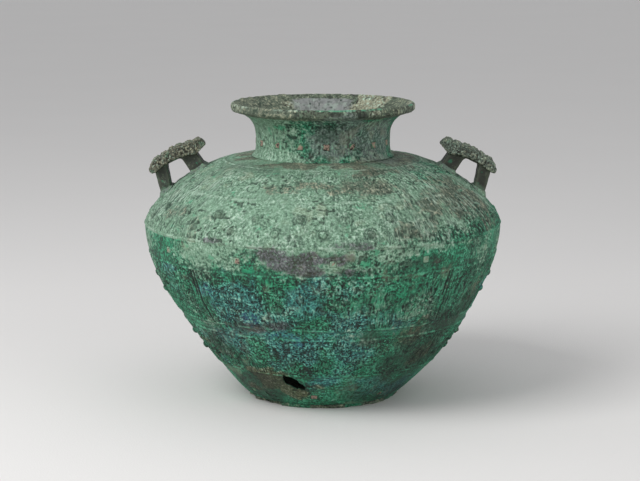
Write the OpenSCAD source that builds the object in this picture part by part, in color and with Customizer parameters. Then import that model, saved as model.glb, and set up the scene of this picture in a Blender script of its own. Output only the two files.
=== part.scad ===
// Bronze lei: a broad-shouldered wine jar with a flared neck and two strap handles.
// Millimetres, +Z up. The origin is the centre of the foot, on the surface that the jar stands on.
// The handles lie on the X axis, and the jar's front faces -Y.

/* [Foot] */
// Radius of the base plate, whose edge shows under the wall
base_radius = 81; // [72:0.5:95]
// Height of the base plate's edge
base_edge = 4; // [3:0.5:6]
// Depth of the hollow under the base plate
base_hollow = 1.2; // [0.5:0.1:2]
// Width of the ring that the jar stands on
foot_ring_width = 15; // [8:1:25]
// Height of the base plate's raised middle, which centres the wall
base_spigot = 4; // [2:0.5:8]

/* [Wall] */
// Thickness of the cast wall
wall = 5; // [3.5:0.5:7]
// How far the wall's foot stands out past the base plate
foot_overhang = 0.7; // [0:0.1:2]
// Angle of the wall above the horizontal where it leaves the base plate
foot_slope = 36.8; // [32:0.2:50]
// Length over which the wall keeps that angle
foot_pull = 32.8; // [15:0.2:60]
// Radius of the jar at its widest place
belly_radius = 190; // [170:1:215]
// Height of the widest place above the floor
belly_height = 186; // [170:1:210]
// Length over which the belly stays upright below its widest place
belly_pull = 61.5; // [40:0.5:80]
// Rise of the shoulder from the widest place to the foot of the neck
shoulder_rise = 72.2; // [60:0.2:90]
// Length over which the shoulder stays upright above the widest place
shoulder_pull = 16; // [8:0.5:30]
// Length over which the shoulder lies flat at the neck
crown_pull = 69; // [45:0.5:85]

/* [Neck] */
// Outer radius of the neck
neck_radius = 71.5; // [60:0.5:80]
// Height from the shoulder's crown to the top of the rim
neck_height = 56.8; // [48:0.2:75]
// How far the ring at the neck's foot stands out
neck_ring_width = 4.5; // [3:0.5:9]
// Height of the ring at the neck's foot
neck_ring_height = 3.5; // [2:0.5:6]
// Depth of the flat seat that the ring lies in
neck_seat = 1; // [0.6:0.1:2]
// Depth of the neck's spigot below the seat
neck_spigot = 8; // [6:0.5:14]
// How far the spigot is drawn in from the neck's outer face
spigot_step = 1.2; // [0.8:0.1:1.8]
// How far the rim stands out past the neck
rim_overhang = 26.5; // [18:0.5:34]
// Thickness of the rim's edge
rim_edge = 9; // [6:0.5:12]
// Radius that rounds the rim's edge
rim_round = 3; // [1:0.5:4]
// Height of the flare from the straight neck to the top of the rim
flare_height = 36; // [28:0.5:42]
// Height over which the outside stays upright into the flare
flare_pull = 15; // [8:0.5:18]
// Length over which the rim's underside runs flat
rim_reach = 15; // [8:0.5:18]
// Drop of the rim's underside over that length
rim_drop = 3; // [1:0.5:6]
// Depth from the rim to the neck's straight bore
mouth_depth = 30.6; // [26:0.2:36]
// Height over which the bore stays upright into the mouth
mouth_pull = 12.6; // [6:0.2:16]
// Length over which the mouth's lip slopes in
mouth_reach = 12; // [8:0.5:16]
// Drop of the mouth's lip over that length
mouth_drop = 7; // [3:0.5:9]

/* [Joints] */
// Gap left at every fitted joint
joint_gap = 0.15; // [0.05:0.05:0.3]
// Depth of the half lap between shoulder and lower belly
lap_depth = 8; // [4:0.5:14]

/* [Ornament] */
// How far the relief registers stand out from the plain wall
relief = 0.9; // [0.4:0.1:1.4]
// How far the ribs that border the registers stand out
rib_height = 1.5; // [1:0.1:2.5]
// Width of those ribs
rib_width = 2; // [1:0.2:4]
// Height of the plain belt below the widest place
belt_height = 27; // [18:1:32]
// Height of the upper register on the belly
upper_register = 60; // [45:1:66]
// Height of the plain band between the belly's registers
middle_band = 11; // [7:1:16]
// Height of the lower register on the belly
lower_register = 45; // [32:1:50]
// Height of the lower register on the shoulder
shoulder_register = 42; // [30:1:48]
// Width of the plain ring between the shoulder's ornament and the neck
crown_ring = 24; // [12:1:30]
// Bosses in each ring
boss_count = 24; // [12:2:28]
// Radius of a boss
boss_radius = 3.8; // [2.5:0.1:4.8]
// How far a boss stands out from its register
boss_height = 2.4; // [1.2:0.1:3]
// Height between the two rings of bosses in a register
boss_ring_gap = 12.5; // [10:0.5:16]
// Angle from a handle round to the upright lines that part the panels
panel_angle = 45; // [25:0.5:50]
// Width of a panel line
line_width = 1.6; // [1:0.1:2.4]
// Depth of a panel line in its register
line_depth = 1.2; // [0.6:0.1:1.8]
// Angle between a panel line and the shorter one beside it
line_pair = 1.3; // [0.8:0.1:2]
// Radius of the curls cut round the bosses and over the shoulder
curl_radius = 6.8; // [5.5:0.1:7.6]
// Radius of the round tool that cuts a curl
curl_tool = 1.5; // [1:0.1:2]
// Depth of a curl in its register
curl_depth = 0.9; // [0.5:0.1:1.3]
// Angle that a curl turns through
curl_turn = 290; // [240:5:330]

/* [Handles] */
// Distance from the widest radius in to the middle of a handle
handle_inset = 39.5; // [36:0.5:55]
// Width of the strap across its legs
strap_width = 22; // [18:0.5:28]
// How much wider each leg is where it meets the shoulder
strap_spread = 5; // [2:0.5:8]
// Thickness of the inner leg
leg_thickness = 16; // [13:0.5:19]
// Thickness of the outer leg at its foot
outer_leg = 12; // [10.5:0.5:16]
// How much thicker the outer leg is under the bridge
outer_swell = 2.5; // [0:0.5:4]
// Width of the gap under the handle, at the shoulder
gap_foot = 27; // [21:0.5:31]
// Width of the gap under the bridge
gap_top = 17; // [13:0.5:20]
// Height of the gap over the shoulder
gap_height = 20.5; // [16:0.5:28]
// How much higher the gap is at its outer end
gap_rise = 2.5; // [0:0.5:3]
// Radius of the gap's corners under the bridge
gap_round = 4; // [2:0.5:6]
// Thickness of the bridge over the gap
bridge = 3; // [2:0.5:6]
// How far the inner leg's top lies below the gap's
inner_drop = 6.3; // [4:0.1:9]
// How far the outer leg's top lies above the gap's
outer_rise = 2.5; // [0.5:0.1:3]
// Width of the crest
crest_width = 30; // [27:0.5:36]
// Thickness of the crest
crest_thickness = 9.5; // [7:0.5:12]
// Length of the beak at the crest's upper end
beak_length = 14; // [8:0.5:18]
// Length of the tail at the crest's lower end
tail_length = 5; // [3:0.5:8]
// Pairs of coils on each slope of the crest
slope_coils = 3; // [2:1:4]
// Coils along each side of the crest
side_coils = 5; // [3:1:5]
// Radius of a coil on the crest
coil_radius = 3.8; // [3:0.1:4.6]
// Radius of the cord that a coil is wound from
coil_cord = 1.5; // [1.1:0.1:1.8]
// Radius of the cast tenons that lock the legs
tenon_radius = 4; // [3:0.5:5]
// Distance of the outer leg's tenon from the gap
tenon_set = 5.8; // [5:0.1:8]
// Depth of a tenon's socket in its leg
tenon_depth = 9; // [6:0.5:11]
// Radius of a tenon's spread head inside the jar
tenon_head_radius = 7.5; // [6:0.5:9]
// Thickness of a tenon's spread head
tenon_head = 3; // [2:0.5:5]
// Width of the solder collar round a leg
solder_width = 2.6; // [1.5:0.1:4]
// Height of the solder collar up a leg
solder_height = 3; // [2:0.5:5]

/* [Chaplets and loss] */
// Side of a square chaplet
chaplet = 7; // [5:0.5:9]
// Depth of a chaplet's pocket in the neck and the base
chaplet_depth = 2.6; // [1.5:0.1:3]
// Chaplets round the neck
neck_chaplet_count = 16; // [8:1:20]
// Chaplets round the belt
belt_chaplet_count = 12; // [6:1:20]
// Chaplets round the foot
foot_chaplet_count = 8; // [4:1:12]
// Angle of the first chaplet round the neck, from the front
neck_chaplet_first = 3; // [-20:1:20]
// Angle of the first chaplet round the belt, from the front
belt_chaplet_first = 3; // [-20:1:20]
// Angle of the first chaplet round the foot, from the front
foot_chaplet_first = -6; // [-20:1:20]
// Height of the foot's chaplets up the wall
foot_chaplet_height = 15; // [13:0.5:22]
// Chaplets in the base
base_chaplet_count = 4; // [3:1:8]
// Radius of their circle
base_chaplet_circle = 44; // [30:1:55]
// Length of the loss in the wall
loss_length = 31; // [15:1:34]
// Width of the loss
loss_width = 13; // [8:0.5:15]
// Height of the loss above the floor
loss_height = 33; // [28:0.5:36]
// Angle of the loss round the jar from the front
loss_angle = -17.5; // [-45:0.5:45]
// Slant of the loss
loss_slant = 48; // [-60:1:60]

/* [Hidden] */
$fn = 240;

CURVE_STEPS = 8;
CORNER_STEPS = 5;
SEARCH_STEPS = 24;
FRONT = -90;
OVERCUT = 3;
PATINA = "#5f9477";
DARK_PATINA = "#48635a";
CRUST = "#8a8c72";
REDDISH = "#8c6a58";
LEAD = "#9c9f98";

// Heights of the wall and of its bands
foot_radius = base_radius + foot_overhang;
foot_inner = foot_radius - wall / sin(foot_slope);
crown_height = belly_height + shoulder_rise;
rim_height = crown_height + neck_height;
belt_bottom = belly_height - belt_height;
upper_bottom = belt_bottom - upper_register;
lower_top = upper_bottom - middle_band;
lower_bottom = lower_top - lower_register;
shoulder_split = belly_height + shoulder_register;

// Radii and heights of the neck
neck_bore = neck_radius - wall;
spigot_radius = neck_radius - spigot_step;
crown_radius = spigot_radius + joint_gap;
ring_radius = neck_radius + neck_ring_width;
rim_radius = neck_radius + rim_overhang;
seat_height = crown_height - neck_seat;
ring_top = seat_height + neck_ring_height;
flare_bottom = rim_height - flare_height;
neck_middle = (ring_top + flare_bottom) / 2 + neck_ring_height;

// Outer curves of the wall, as [radius, height]
belly_curve = [
    [foot_radius, base_edge],
    [foot_radius + foot_pull * cos(foot_slope), base_edge + foot_pull * sin(foot_slope)],
    [belly_radius, belly_height - belly_pull],
    [belly_radius, belly_height]
];
shoulder_curve = [
    [belly_radius, belly_height],
    [belly_radius, belly_height + shoulder_pull],
    [crown_radius + crown_pull, crown_height],
    [crown_radius, crown_height]
];

// A cubic curve's point, direction and outward normal
function bezier(c, t) =
    pow(1 - t, 3) * c[0] + 3 * pow(1 - t, 2) * t * c[1] + 3 * (1 - t) * t * t * c[2] + pow(t, 3) * c[3];
function direction(c, t) =
    pow(1 - t, 2) * (c[1] - c[0]) + 2 * (1 - t) * t * (c[2] - c[1]) + t * t * (c[3] - c[2]);
function outward(c, t) = let (d = direction(c, t)) [d[1], -d[0]] / norm(d);

// Where a curve reaches a height, and where the shoulder reaches a radius
function at_height(c, z, low = 0, high = 1, n = SEARCH_STEPS) =
    let (mid = (low + high) / 2)
    n == 0 ? mid :
    bezier(c, mid)[1] < z ? at_height(c, z, mid, high, n - 1) : at_height(c, z, low, mid, n - 1);
function at_radius(c, r, low = 0, high = 1, n = SEARCH_STEPS) =
    let (mid = (low + high) / 2)
    n == 0 ? mid :
    bezier(c, mid)[0] > r ? at_radius(c, r, mid, high, n - 1) : at_radius(c, r, low, mid, n - 1);

// A stretch of a curve, moved out by a given amount
function stretch(c, from, to, out = 0, steps = CURVE_STEPS) =
    [for (i = [0 : steps]) let (t = from + (to - from) * i / steps) bezier(c, t) + out * outward(c, t)];

// A register between two places on a curve: a rib, the raised field and a rib
function register(c, from, to, rib) = concat(
    stretch(c, from, from + rib, rib_height, 1),
    stretch(c, from + rib, to - rib, relief),
    stretch(c, to - rib, to, rib_height, 1)
);

// Points of a circular arc
function arc(centre, r, from, to, steps = CORNER_STEPS) =
    [for (i = [0 : steps]) let (a = from + (to - from) * i / steps) centre + r * [cos(a), sin(a)]];

// An outline's corner b between a and c, rounded by r
function corner(a, b, c, r) =
    let (
        u = (a - b) / norm(a - b),
        v = (c - b) / norm(c - b),
        half = acos(u * v) / 2,
        centre = b + (u + v) / norm(u + v) * r / sin(half),
        start = b + u * r / tan(half) - centre,
        turn = (u[0] * v[1] - u[1] * v[0] < 0 ? 1 : -1) * (180 - 2 * half),
        from = atan2(start[1], start[0])
    )
    arc(centre, r, from, from + turn);
function rounded(points, radii) = [
    for (i = [0 : len(points) - 1])
        let (n = len(points))
        each radii[i] == 0 ? [points[i]]
            : corner(points[(i + n - 1) % n], points[i], points[(i + 1) % n], radii[i])
];

// Centre of the circle through three points
function circle_centre(a, b, c) =
    let (
        u = b - a,
        v = c - a,
        cross = 2 * (u[0] * v[1] - u[1] * v[0])
    )
    a + [v[1] * (u * u) - u[1] * (v * v), u[0] * (v * v) - v[0] * (u * u)] / cross;

// Places children on a wall curve, with +Z along the wall's outward normal
module on_wall(c, t, angle) {
    n = outward(c, t);
    p = bezier(c, t);
    rotate([0, 0, FRONT + angle])
        translate([p[0], 0, p[1]])
        rotate([0, atan2(n[0], n[1]), 0])
        children();
}

// A ring of bosses at one height of a wall curve
module boss_ring(c, t, offset) {
    ball = (boss_radius * boss_radius + boss_height * boss_height) / (2 * boss_height);
    for (i = [0 : boss_count - 1])
        on_wall(c, t, (i + offset) * 360 / boss_count)
        translate([0, 0, relief + boss_height - ball])
        sphere(ball, $fn = 32);
}

// Two staggered rings of bosses about the middle of a register
module boss_rings(c, bottom, top) {
    middle = (bottom + top) / 2;
    boss_ring(c, at_height(c, middle - boss_ring_gap / 2), 0);
    boss_ring(c, at_height(c, middle + boss_ring_gap / 2), 0.5);
}

// A ring of curls at one height of a wall curve, opening up and down in turn and clear of the handles' feet
module curl_ring(c, t, offset) {
    for (i = [0 : boss_count - 1])
        let (angle = (i + offset) * 360 / boss_count)
        if (abs(angle % 180 - 90) > handle_span)
            on_wall(c, t, angle)
            translate([0, 0, relief + curl_tool - curl_depth])
            rotate([0, 0, i * 180 - curl_turn / 2])
            rotate_extrude(angle = curl_turn, $fn = 48)
            translate([curl_radius, 0])
            circle(curl_tool, $fn = 24);
}

// Curls round both rings of bosses of a register
module curl_rings(c, bottom, top) {
    middle = (bottom + top) / 2;
    curl_ring(c, at_height(c, middle - boss_ring_gap / 2), 0);
    curl_ring(c, at_height(c, middle + boss_ring_gap / 2), 0.5);
}

// Upright grooves in a register, in pairs: a long one and one along its upper half
module panel_lines(c, from, to) {
    middle = (from + to) / 2;
    for (flank = [-90, 90], side = [-1, 1], line = [0, 1])
        rotate([0, 0, FRONT + flank + side * panel_angle - line * line_pair])
        rotate([90, 0, 0])
        linear_extrude(height = line_width, center = true)
        polygon(concat(
            stretch(c, line == 0 ? from : middle, to, relief - line_depth),
            stretch(c, to, line == 0 ? from : middle, relief + OVERCUT)
        ));
}

// Square chaplet blocks let into a wall curve to a given depth
module chaplet_ring(c, t, count, first, depth) {
    for (i = [0 : count - 1])
        on_wall(c, t, first + i * 360 / count)
        translate([-chaplet / 2, -chaplet / 2, -depth])
        cube([chaplet, chaplet, depth + OVERCUT]);
}

module foot_chaplet_blocks() {
    t = at_height(belly_curve, foot_chaplet_height);
    chaplet_ring(belly_curve, t, foot_chaplet_count, foot_chaplet_first, wall + OVERCUT);
}

module belt_chaplet_blocks() {
    t = at_height(belly_curve, belly_height - belt_height / 2);
    chaplet_ring(belly_curve, t, belt_chaplet_count, belt_chaplet_first, wall + OVERCUT);
}

module neck_chaplet_blocks() {
    upright = [for (i = [0 : 3]) [neck_radius, neck_middle + i - 1.5]];
    chaplet_ring(upright, 0.5, neck_chaplet_count, neck_chaplet_first, chaplet_depth);
}

module base_chaplet_blocks() {
    for (i = [0 : base_chaplet_count - 1])
        rotate([0, 0, i * 360 / base_chaplet_count])
        translate([base_chaplet_circle - chaplet / 2, -chaplet / 2, 0])
        cube([chaplet, chaplet, base_hollow + chaplet_depth]);
}

module base_plate_blank() {
    rotate_extrude()
    polygon([
        [0, base_hollow],
        [base_radius - foot_ring_width, base_hollow],
        [base_radius - foot_ring_width, 0],
        [base_radius, 0],
        [base_radius, base_edge],
        [foot_inner - joint_gap, base_edge],
        [foot_inner - joint_gap, base_edge + base_spigot],
        [0, base_edge + base_spigot]
    ]);
}

module base_plate() {
    color(DARK_PATINA)
    difference() {
        base_plate_blank();
        base_chaplet_blocks();
    }
}

module base_chaplets() {
    color(REDDISH)
    intersection() {
        base_plate_blank();
        base_chaplet_blocks();
    }
}

// The belly's wall, with its registers and the outer half of the lap, but no bosses or cuts
module belly_wall() {
    lower_from = at_height(belly_curve, lower_bottom);
    lower_to = at_height(belly_curve, lower_top);
    upper_from = at_height(belly_curve, upper_bottom);
    upper_to = at_height(belly_curve, belt_bottom);
    rib = rib_width / norm(direction(belly_curve, upper_from)) / 3;
    lap_radius = belly_radius - wall / 2;
    lap_bottom = belly_height - lap_depth - joint_gap;
    inner = stretch(belly_curve, at_height(belly_curve, lap_bottom), 0, -wall, 2 * CURVE_STEPS);
    rotate_extrude()
    polygon(concat(
        [[foot_inner, base_edge]],
        stretch(belly_curve, 0, lower_from),
        register(belly_curve, lower_from, lower_to, rib),
        stretch(belly_curve, lower_to, upper_from, 0, 2),
        register(belly_curve, upper_from, upper_to, rib),
        stretch(belly_curve, upper_to, 1, 0, 4),
        [[lap_radius + joint_gap, belly_height], [lap_radius + joint_gap, lap_bottom]],
        inner
    ));
}

module loss() {
    reach = 2 * (wall + OVERCUT);
    half = (loss_length - loss_width) / 2;
    on_wall(belly_curve, at_height(belly_curve, loss_height), loss_angle)
        rotate([0, 0, 90 + loss_slant])
        translate([0, 0, -reach / 2]) {
            for (side = [-1, 1])
                translate([side * half, 0, 0])
                cylinder(h = reach, d = loss_width);
            translate([-half, -loss_width / 2, 0])
                cube([2 * half, loss_width, reach]);
        }
}

module lower_belly() {
    color(PATINA)
    difference() {
        union() {
            belly_wall();
            boss_rings(belly_curve, lower_bottom, lower_top);
            boss_rings(belly_curve, upper_bottom, belt_bottom);
        }
        curl_rings(belly_curve, lower_bottom, lower_top);
        curl_rings(belly_curve, upper_bottom, belt_bottom);
        panel_lines(belly_curve, at_height(belly_curve, upper_bottom + rib_width),
            at_height(belly_curve, belt_bottom - rib_width));
        foot_chaplet_blocks();
        belt_chaplet_blocks();
        loss();
    }
}

module foot_chaplets() {
    color(REDDISH)
    intersection() {
        belly_wall();
        foot_chaplet_blocks();
    }
}

module belt_chaplets() {
    color(REDDISH)
    intersection() {
        belly_wall();
        belt_chaplet_blocks();
    }
}

// The shoulder's outer points, from the seam up to the neck's seat
shoulder_outer = let (
    split = at_height(shoulder_curve, shoulder_split),
    top = at_radius(shoulder_curve, ring_radius + crown_ring),
    seat = at_radius(shoulder_curve, ring_radius + joint_gap),
    low = at_height(shoulder_curve, belly_height + rib_width),
    rib = rib_width / norm(direction(shoulder_curve, split)) / 3
) concat(
    stretch(shoulder_curve, 0, low, 0, 2),
    register(shoulder_curve, low, split, rib),
    register(shoulder_curve, split + rib, top, rib),
    stretch(shoulder_curve, top, seat, 0, 4)
);

// The shoulder's wall, with its registers and the inner half of the lap, but no bosses or holes
module shoulder_wall() {
    lap_radius = belly_radius - wall / 2;
    rotate_extrude()
    polygon(concat(
        [
            [belly_radius - wall, belly_height - lap_depth],
            [lap_radius, belly_height - lap_depth],
            [lap_radius, belly_height]
        ],
        shoulder_outer,
        [[ring_radius + joint_gap, seat_height], [crown_radius, seat_height]],
        stretch(shoulder_curve, 1, 0, -wall, 2 * CURVE_STEPS)
    ));
}

// The space inside the shoulder's outer face, used to fit what stands on it
module shoulder_filled() {
    rotate_extrude()
    polygon(concat(
        [[0, belly_height]],
        shoulder_outer,
        [[0, bezier(shoulder_curve, at_radius(shoulder_curve, ring_radius + joint_gap))[1]]]
    ));
}

module shoulder() {
    crown_from = at_height(shoulder_curve, shoulder_split);
    crown_to = at_radius(shoulder_curve, ring_radius + crown_ring);
    color(PATINA)
    difference() {
        union() {
            shoulder_wall();
            boss_rings(shoulder_curve, belly_height, shoulder_split);
        }
        curl_rings(shoulder_curve, belly_height, shoulder_split);
        curl_ring(shoulder_curve, crown_from + (crown_to - crown_from) / 3, 0);
        curl_ring(shoulder_curve, crown_from + (crown_to - crown_from) * 2 / 3, 0.5);
        for (side = [0, 1])
            mirror([side, 0, 0])
            on_handle()
            tenon_places()
            translate([0, 0, -2 * wall])
            cylinder(h = 2 * wall + tenon_depth, r = tenon_radius + joint_gap);
    }
}

// The neck's outline: spigot, foot ring, straight neck, flare and rim
module neck_blank() {
    lip = rim_radius - rim_round;
    lip_bottom = rim_height - rim_edge;
    ring_round = neck_ring_height / 2;
    flare_outer = [
        [neck_radius, flare_bottom],
        [neck_radius, flare_bottom + flare_pull],
        [lip - rim_reach, lip_bottom - rim_drop],
        [lip, lip_bottom]
    ];
    flare_inner = [
        [lip, rim_height],
        [lip - mouth_reach, rim_height - mouth_drop],
        [neck_bore, rim_height - mouth_depth + mouth_pull],
        [neck_bore, rim_height - mouth_depth]
    ];
    rotate_extrude()
    polygon(concat(
        [
            [neck_bore, seat_height - neck_spigot],
            [spigot_radius, seat_height - neck_spigot],
            [spigot_radius, seat_height],
            [ring_radius, seat_height]
        ],
        arc([ring_radius - ring_round, ring_top - ring_round], ring_round, 0, 90),
        [[neck_radius, ring_top + ring_round / 2]],
        stretch(flare_outer, 0, 1),
        arc([lip, lip_bottom + rim_round], rim_round, -90, 0),
        arc([lip, rim_height - rim_round], rim_round, 0, 90),
        stretch(flare_inner, 1 / CURVE_STEPS, 1)
    ));
}

module neck() {
    color(PATINA)
    difference() {
        neck_blank();
        neck_chaplet_blocks();
    }
}

module neck_chaplets() {
    color(REDDISH)
    intersection() {
        neck_blank();
        neck_chaplet_blocks();
    }
}

// A handle stands on the shoulder: x runs out and down the slope, z runs straight out of the wall
handle_place = at_radius(shoulder_curve, belly_radius - handle_inset);
handle_foot = bezier(shoulder_curve, handle_place);
handle_normal = outward(shoulder_curve, handle_place);
handle_slope = [handle_normal[1], -handle_normal[0]];
root_depth = wall + leg_thickness / 3;
gap_inner = -gap_foot / 2;
gap_outer_top = gap_inner + gap_top;
leg_inner = gap_inner - leg_thickness;
leg_outer_top = gap_outer_top + outer_leg + outer_swell;
leg_outer_foot = gap_foot / 2 + outer_leg;
arch_top = gap_height + bridge;
arch_inner = [leg_inner, gap_height - inner_drop];
arch_middle = [(leg_inner + leg_outer_top) / 2, arch_top];
arch_outer = [leg_outer_top, gap_height + outer_rise];
arch_centre = circle_centre(arch_inner, arch_middle, arch_outer);
arch_radius = norm(arch_inner - arch_centre);
handle_span = atan2(strap_width / 2 + strap_spread + solder_width + curl_radius, belly_radius - 2 * handle_inset);
tenon_inner = gap_inner - leg_thickness / 2;
tenon_outer = gap_foot / 2 + tenon_set;

// How far the curved shoulder lies out of the handle's level at a distance x from its middle
function shoulder_at(x, low = 0, high = 1, n = SEARCH_STEPS) =
    let (
        mid = (low + high) / 2,
        p = bezier(shoulder_curve, mid) - handle_foot
    )
    n == 0 ? p * handle_normal :
    p * handle_slope > x ? shoulder_at(x, mid, high, n - 1) : shoulder_at(x, low, mid, n - 1);

module on_handle() {
    translate([handle_foot[0], 0, handle_foot[1]])
        rotate([0, atan2(handle_normal[0], handle_normal[1]), 0])
        children();
}

module tenon_places() {
    for (x = [tenon_inner, tenon_outer])
        translate([x, 0, shoulder_at(x)])
        children();
}

// Extrudes a side outline across the handle, about its middle
module across(width) {
    rotate([90, 0, 0])
        linear_extrude(height = width, center = true)
        children();
}

// The arch that the loop's top and the crest's underside share, from the inner leg to the outer
function arch_points() =
    let (
        a = arch_inner - arch_centre,
        b = arch_outer - arch_centre
    )
    arc(arch_centre, arch_radius, atan2(a[1], a[0]), atan2(b[1], b[0]), 2 * CURVE_STEPS);

module loop_side() {
    lean = (leg_outer_foot - leg_outer_top) / gap_height;
    gap_lean = (gap_foot / 2 - gap_outer_top) / gap_height;
    outside = concat(
        [[leg_inner, -root_depth]],
        arch_points(),
        [[leg_outer_foot + lean * root_depth, -root_depth]]
    );
    inside = rounded(
        [
            [gap_foot / 2 + gap_lean * root_depth, -root_depth],
            [gap_outer_top, gap_height + gap_rise],
            [gap_inner, gap_height],
            [gap_inner, -root_depth]
        ],
        [0, gap_round, gap_round, 0]
    );
    polygon(concat(outside, inside));
}

// The strap seen along the shoulder: wider at its feet
module loop_front() {
    half = strap_width / 2;
    foot = half + strap_spread / 2;
    polygon(rounded(
        [
            [-foot, -root_depth], [foot, -root_depth], [half, gap_height / 2],
            [half, arch_top + OVERCUT], [-half, arch_top + OVERCUT], [-half, gap_height / 2]
        ],
        [0, 0, gap_height / 2, 0, 0, gap_height / 2]
    ));
}

module handle_loop() {
    length = leg_outer_foot - leg_inner + handle_inset;
    on_handle()
        intersection() {
            across(strap_width + 2 * strap_spread)
                loop_side();
            translate([(leg_inner + leg_outer_foot - length) / 2, 0, 0])
                rotate([90, 0, 90])
                linear_extrude(height = length)
                loop_front();
        }
}

// A fitted loop: cut to the shoulder, with a socket for the tenon in each leg
module fitted_loop() {
    color(DARK_PATINA)
    difference() {
        handle_loop();
        shoulder_filled();
        on_handle()
            tenon_places()
            translate([0, 0, -wall])
            cylinder(h = wall + tenon_depth + joint_gap, r = tenon_radius + joint_gap);
    }
}

// The crest's corners beyond the arch, from tail to beak, in lengths of tail or beak and in thicknesses
tail_low = arch_outer + [0.8 * tail_length, 0.1 * crest_thickness];
tail_end = arch_outer + [tail_length, 0.55 * crest_thickness];
tail_top = arch_outer + [-0.6 * tail_length, 1.15 * crest_thickness];
hump = arch_middle + [-0.5 * beak_length, crest_thickness];
beak_top = arch_inner + [-0.85 * beak_length, 1.1 * crest_thickness];
beak_tip = arch_inner + [-0.95 * beak_length, 0.35 * crest_thickness];
hump_round = 4 * crest_thickness;
tail_round = tail_length / 2;
beak_round = crest_thickness / 6;

module crest_side() {
    polygon(concat(
        arch_points(),
        rounded(
            [arch_outer, tail_low, tail_end, tail_top, hump, beak_top, beak_tip, arch_inner],
            [0, tail_round / 2, tail_round, tail_round, hump_round, beak_round, beak_round / 2, 0]
        )
    ));
}

// The crest seen from above: narrower at its tail, and narrowest at its beak
module crest_plan() {
    half = crest_width / 2;
    tail_half = 0.7 * half;
    beak_half = 0.5 * half;
    rear = leg_outer_top + tail_length;
    fore = leg_inner - beak_length;
    polygon(rounded(
        [
            [fore, -beak_half], [leg_inner, -half], [leg_outer_top, -half], [rear, -tail_half],
            [rear, tail_half], [leg_outer_top, half], [leg_inner, half], [fore, beak_half]
        ],
        [
            beak_round, half / 2, tail_round, tail_round,
            tail_round, tail_round, half / 2, beak_round
        ]
    ));
}

// A coil of cord with a knob in its eye
module coil() {
    rotate_extrude($fn = 32)
        translate([coil_radius - coil_cord, 0])
        circle(coil_cord, $fn = 24);
    sphere(0.8 * coil_cord, $fn = 24);
}

// Coils in pairs along a straight stretch of the crest's top
module coils_on_top(from, to, count) {
    run = to - from;
    for (i = [0 : count - 1], y = [-1, 1])
        let (p = from + run * (i + 0.5) / count)
        translate([p[0], y * crest_width / 4, p[1]])
        rotate([0, -atan2(run[1], run[0]), 0])
        coil();
}

// Coils along both sides of the crest, above the arch
module coils_beside(count) {
    a = arch_inner - arch_centre;
    b = arch_outer - arch_centre;
    from = atan2(a[1], a[0]);
    to = atan2(b[1], b[0]);
    middle = arch_radius + crest_thickness / 3;
    for (i = [0 : count - 1], y = [-1, 1])
        let (angle = from + (to - from) * (i + 0.5) / count)
        translate([arch_centre[0] + middle * cos(angle), y * crest_width / 2,
            arch_centre[1] + middle * sin(angle)])
        rotate([90, 0, 0])
        coil();
}

module handle_crest() {
    color(CRUST)
    on_handle()
        union() {
            intersection() {
                across(crest_width)
                    crest_side();
                linear_extrude(height = arch_top + 2 * crest_thickness)
                    crest_plan();
            }
            coils_on_top(beak_top, hump, slope_coils);
            coils_on_top(hump, tail_top, slope_coils);
            coils_beside(side_coils);
        }
}

// Pins in the sockets of both legs, with heads that are spread against the inside of the wall
module handle_tenons() {
    color(DARK_PATINA) {
        on_handle()
            tenon_places()
            translate([0, 0, -wall - tenon_head])
            cylinder(h = wall + tenon_head + tenon_depth, r = tenon_radius);
        difference() {
            on_handle()
                tenon_places()
                translate([0, 0, -wall - tenon_head])
                cylinder(h = tenon_head + wall / 2, r = tenon_head_radius);
            shoulder_wall();
        }
    }
}

// Sloping collars of solder where the legs meet the shoulder
module handle_solder() {
    color(LEAD)
    difference() {
        on_handle()
            for (leg = [[leg_inner, gap_inner], [gap_foot / 2, leg_outer_foot]])
            intersection() {
                across(strap_width + 4 * strap_spread)
                    collar_side(leg[0], leg[1]);
                translate([leg[0] - leg_thickness, 0, 0])
                    rotate([90, 0, 90])
                    linear_extrude(height = 3 * leg_thickness)
                    collar_side(-(strap_width + strap_spread) / 2, (strap_width + strap_spread) / 2);
            }
        handle_loop();
        shoulder_filled();
    }
}

module collar_side(low, high) {
    polygon([
        [low - solder_width, -root_depth], [high + solder_width, -root_depth],
        [high + solder_width, 0], [high, solder_height],
        [low, solder_height], [low - solder_width, 0]
    ]);
}

module left_handle_loop() { mirror([1, 0, 0]) fitted_loop(); }
module right_handle_loop() { fitted_loop(); }
module left_handle_crest() { mirror([1, 0, 0]) handle_crest(); }
module right_handle_crest() { handle_crest(); }
module left_handle_tenons() { mirror([1, 0, 0]) handle_tenons(); }
module right_handle_tenons() { handle_tenons(); }
module left_handle_solder() { mirror([1, 0, 0]) handle_solder(); }
module right_handle_solder() { handle_solder(); }

base_plate();
base_chaplets();
lower_belly();
foot_chaplets();
belt_chaplets();
shoulder();
neck();
neck_chaplets();
left_handle_loop();
right_handle_loop();
left_handle_crest();
right_handle_crest();
left_handle_tenons();
right_handle_tenons();
left_handle_solder();
right_handle_solder();
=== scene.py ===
"""A cast bronze wine jar with two handles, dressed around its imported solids.

Run as a script: it loads the solids, builds a dressed piece for each one that shows and sets the stage.
"""

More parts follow.
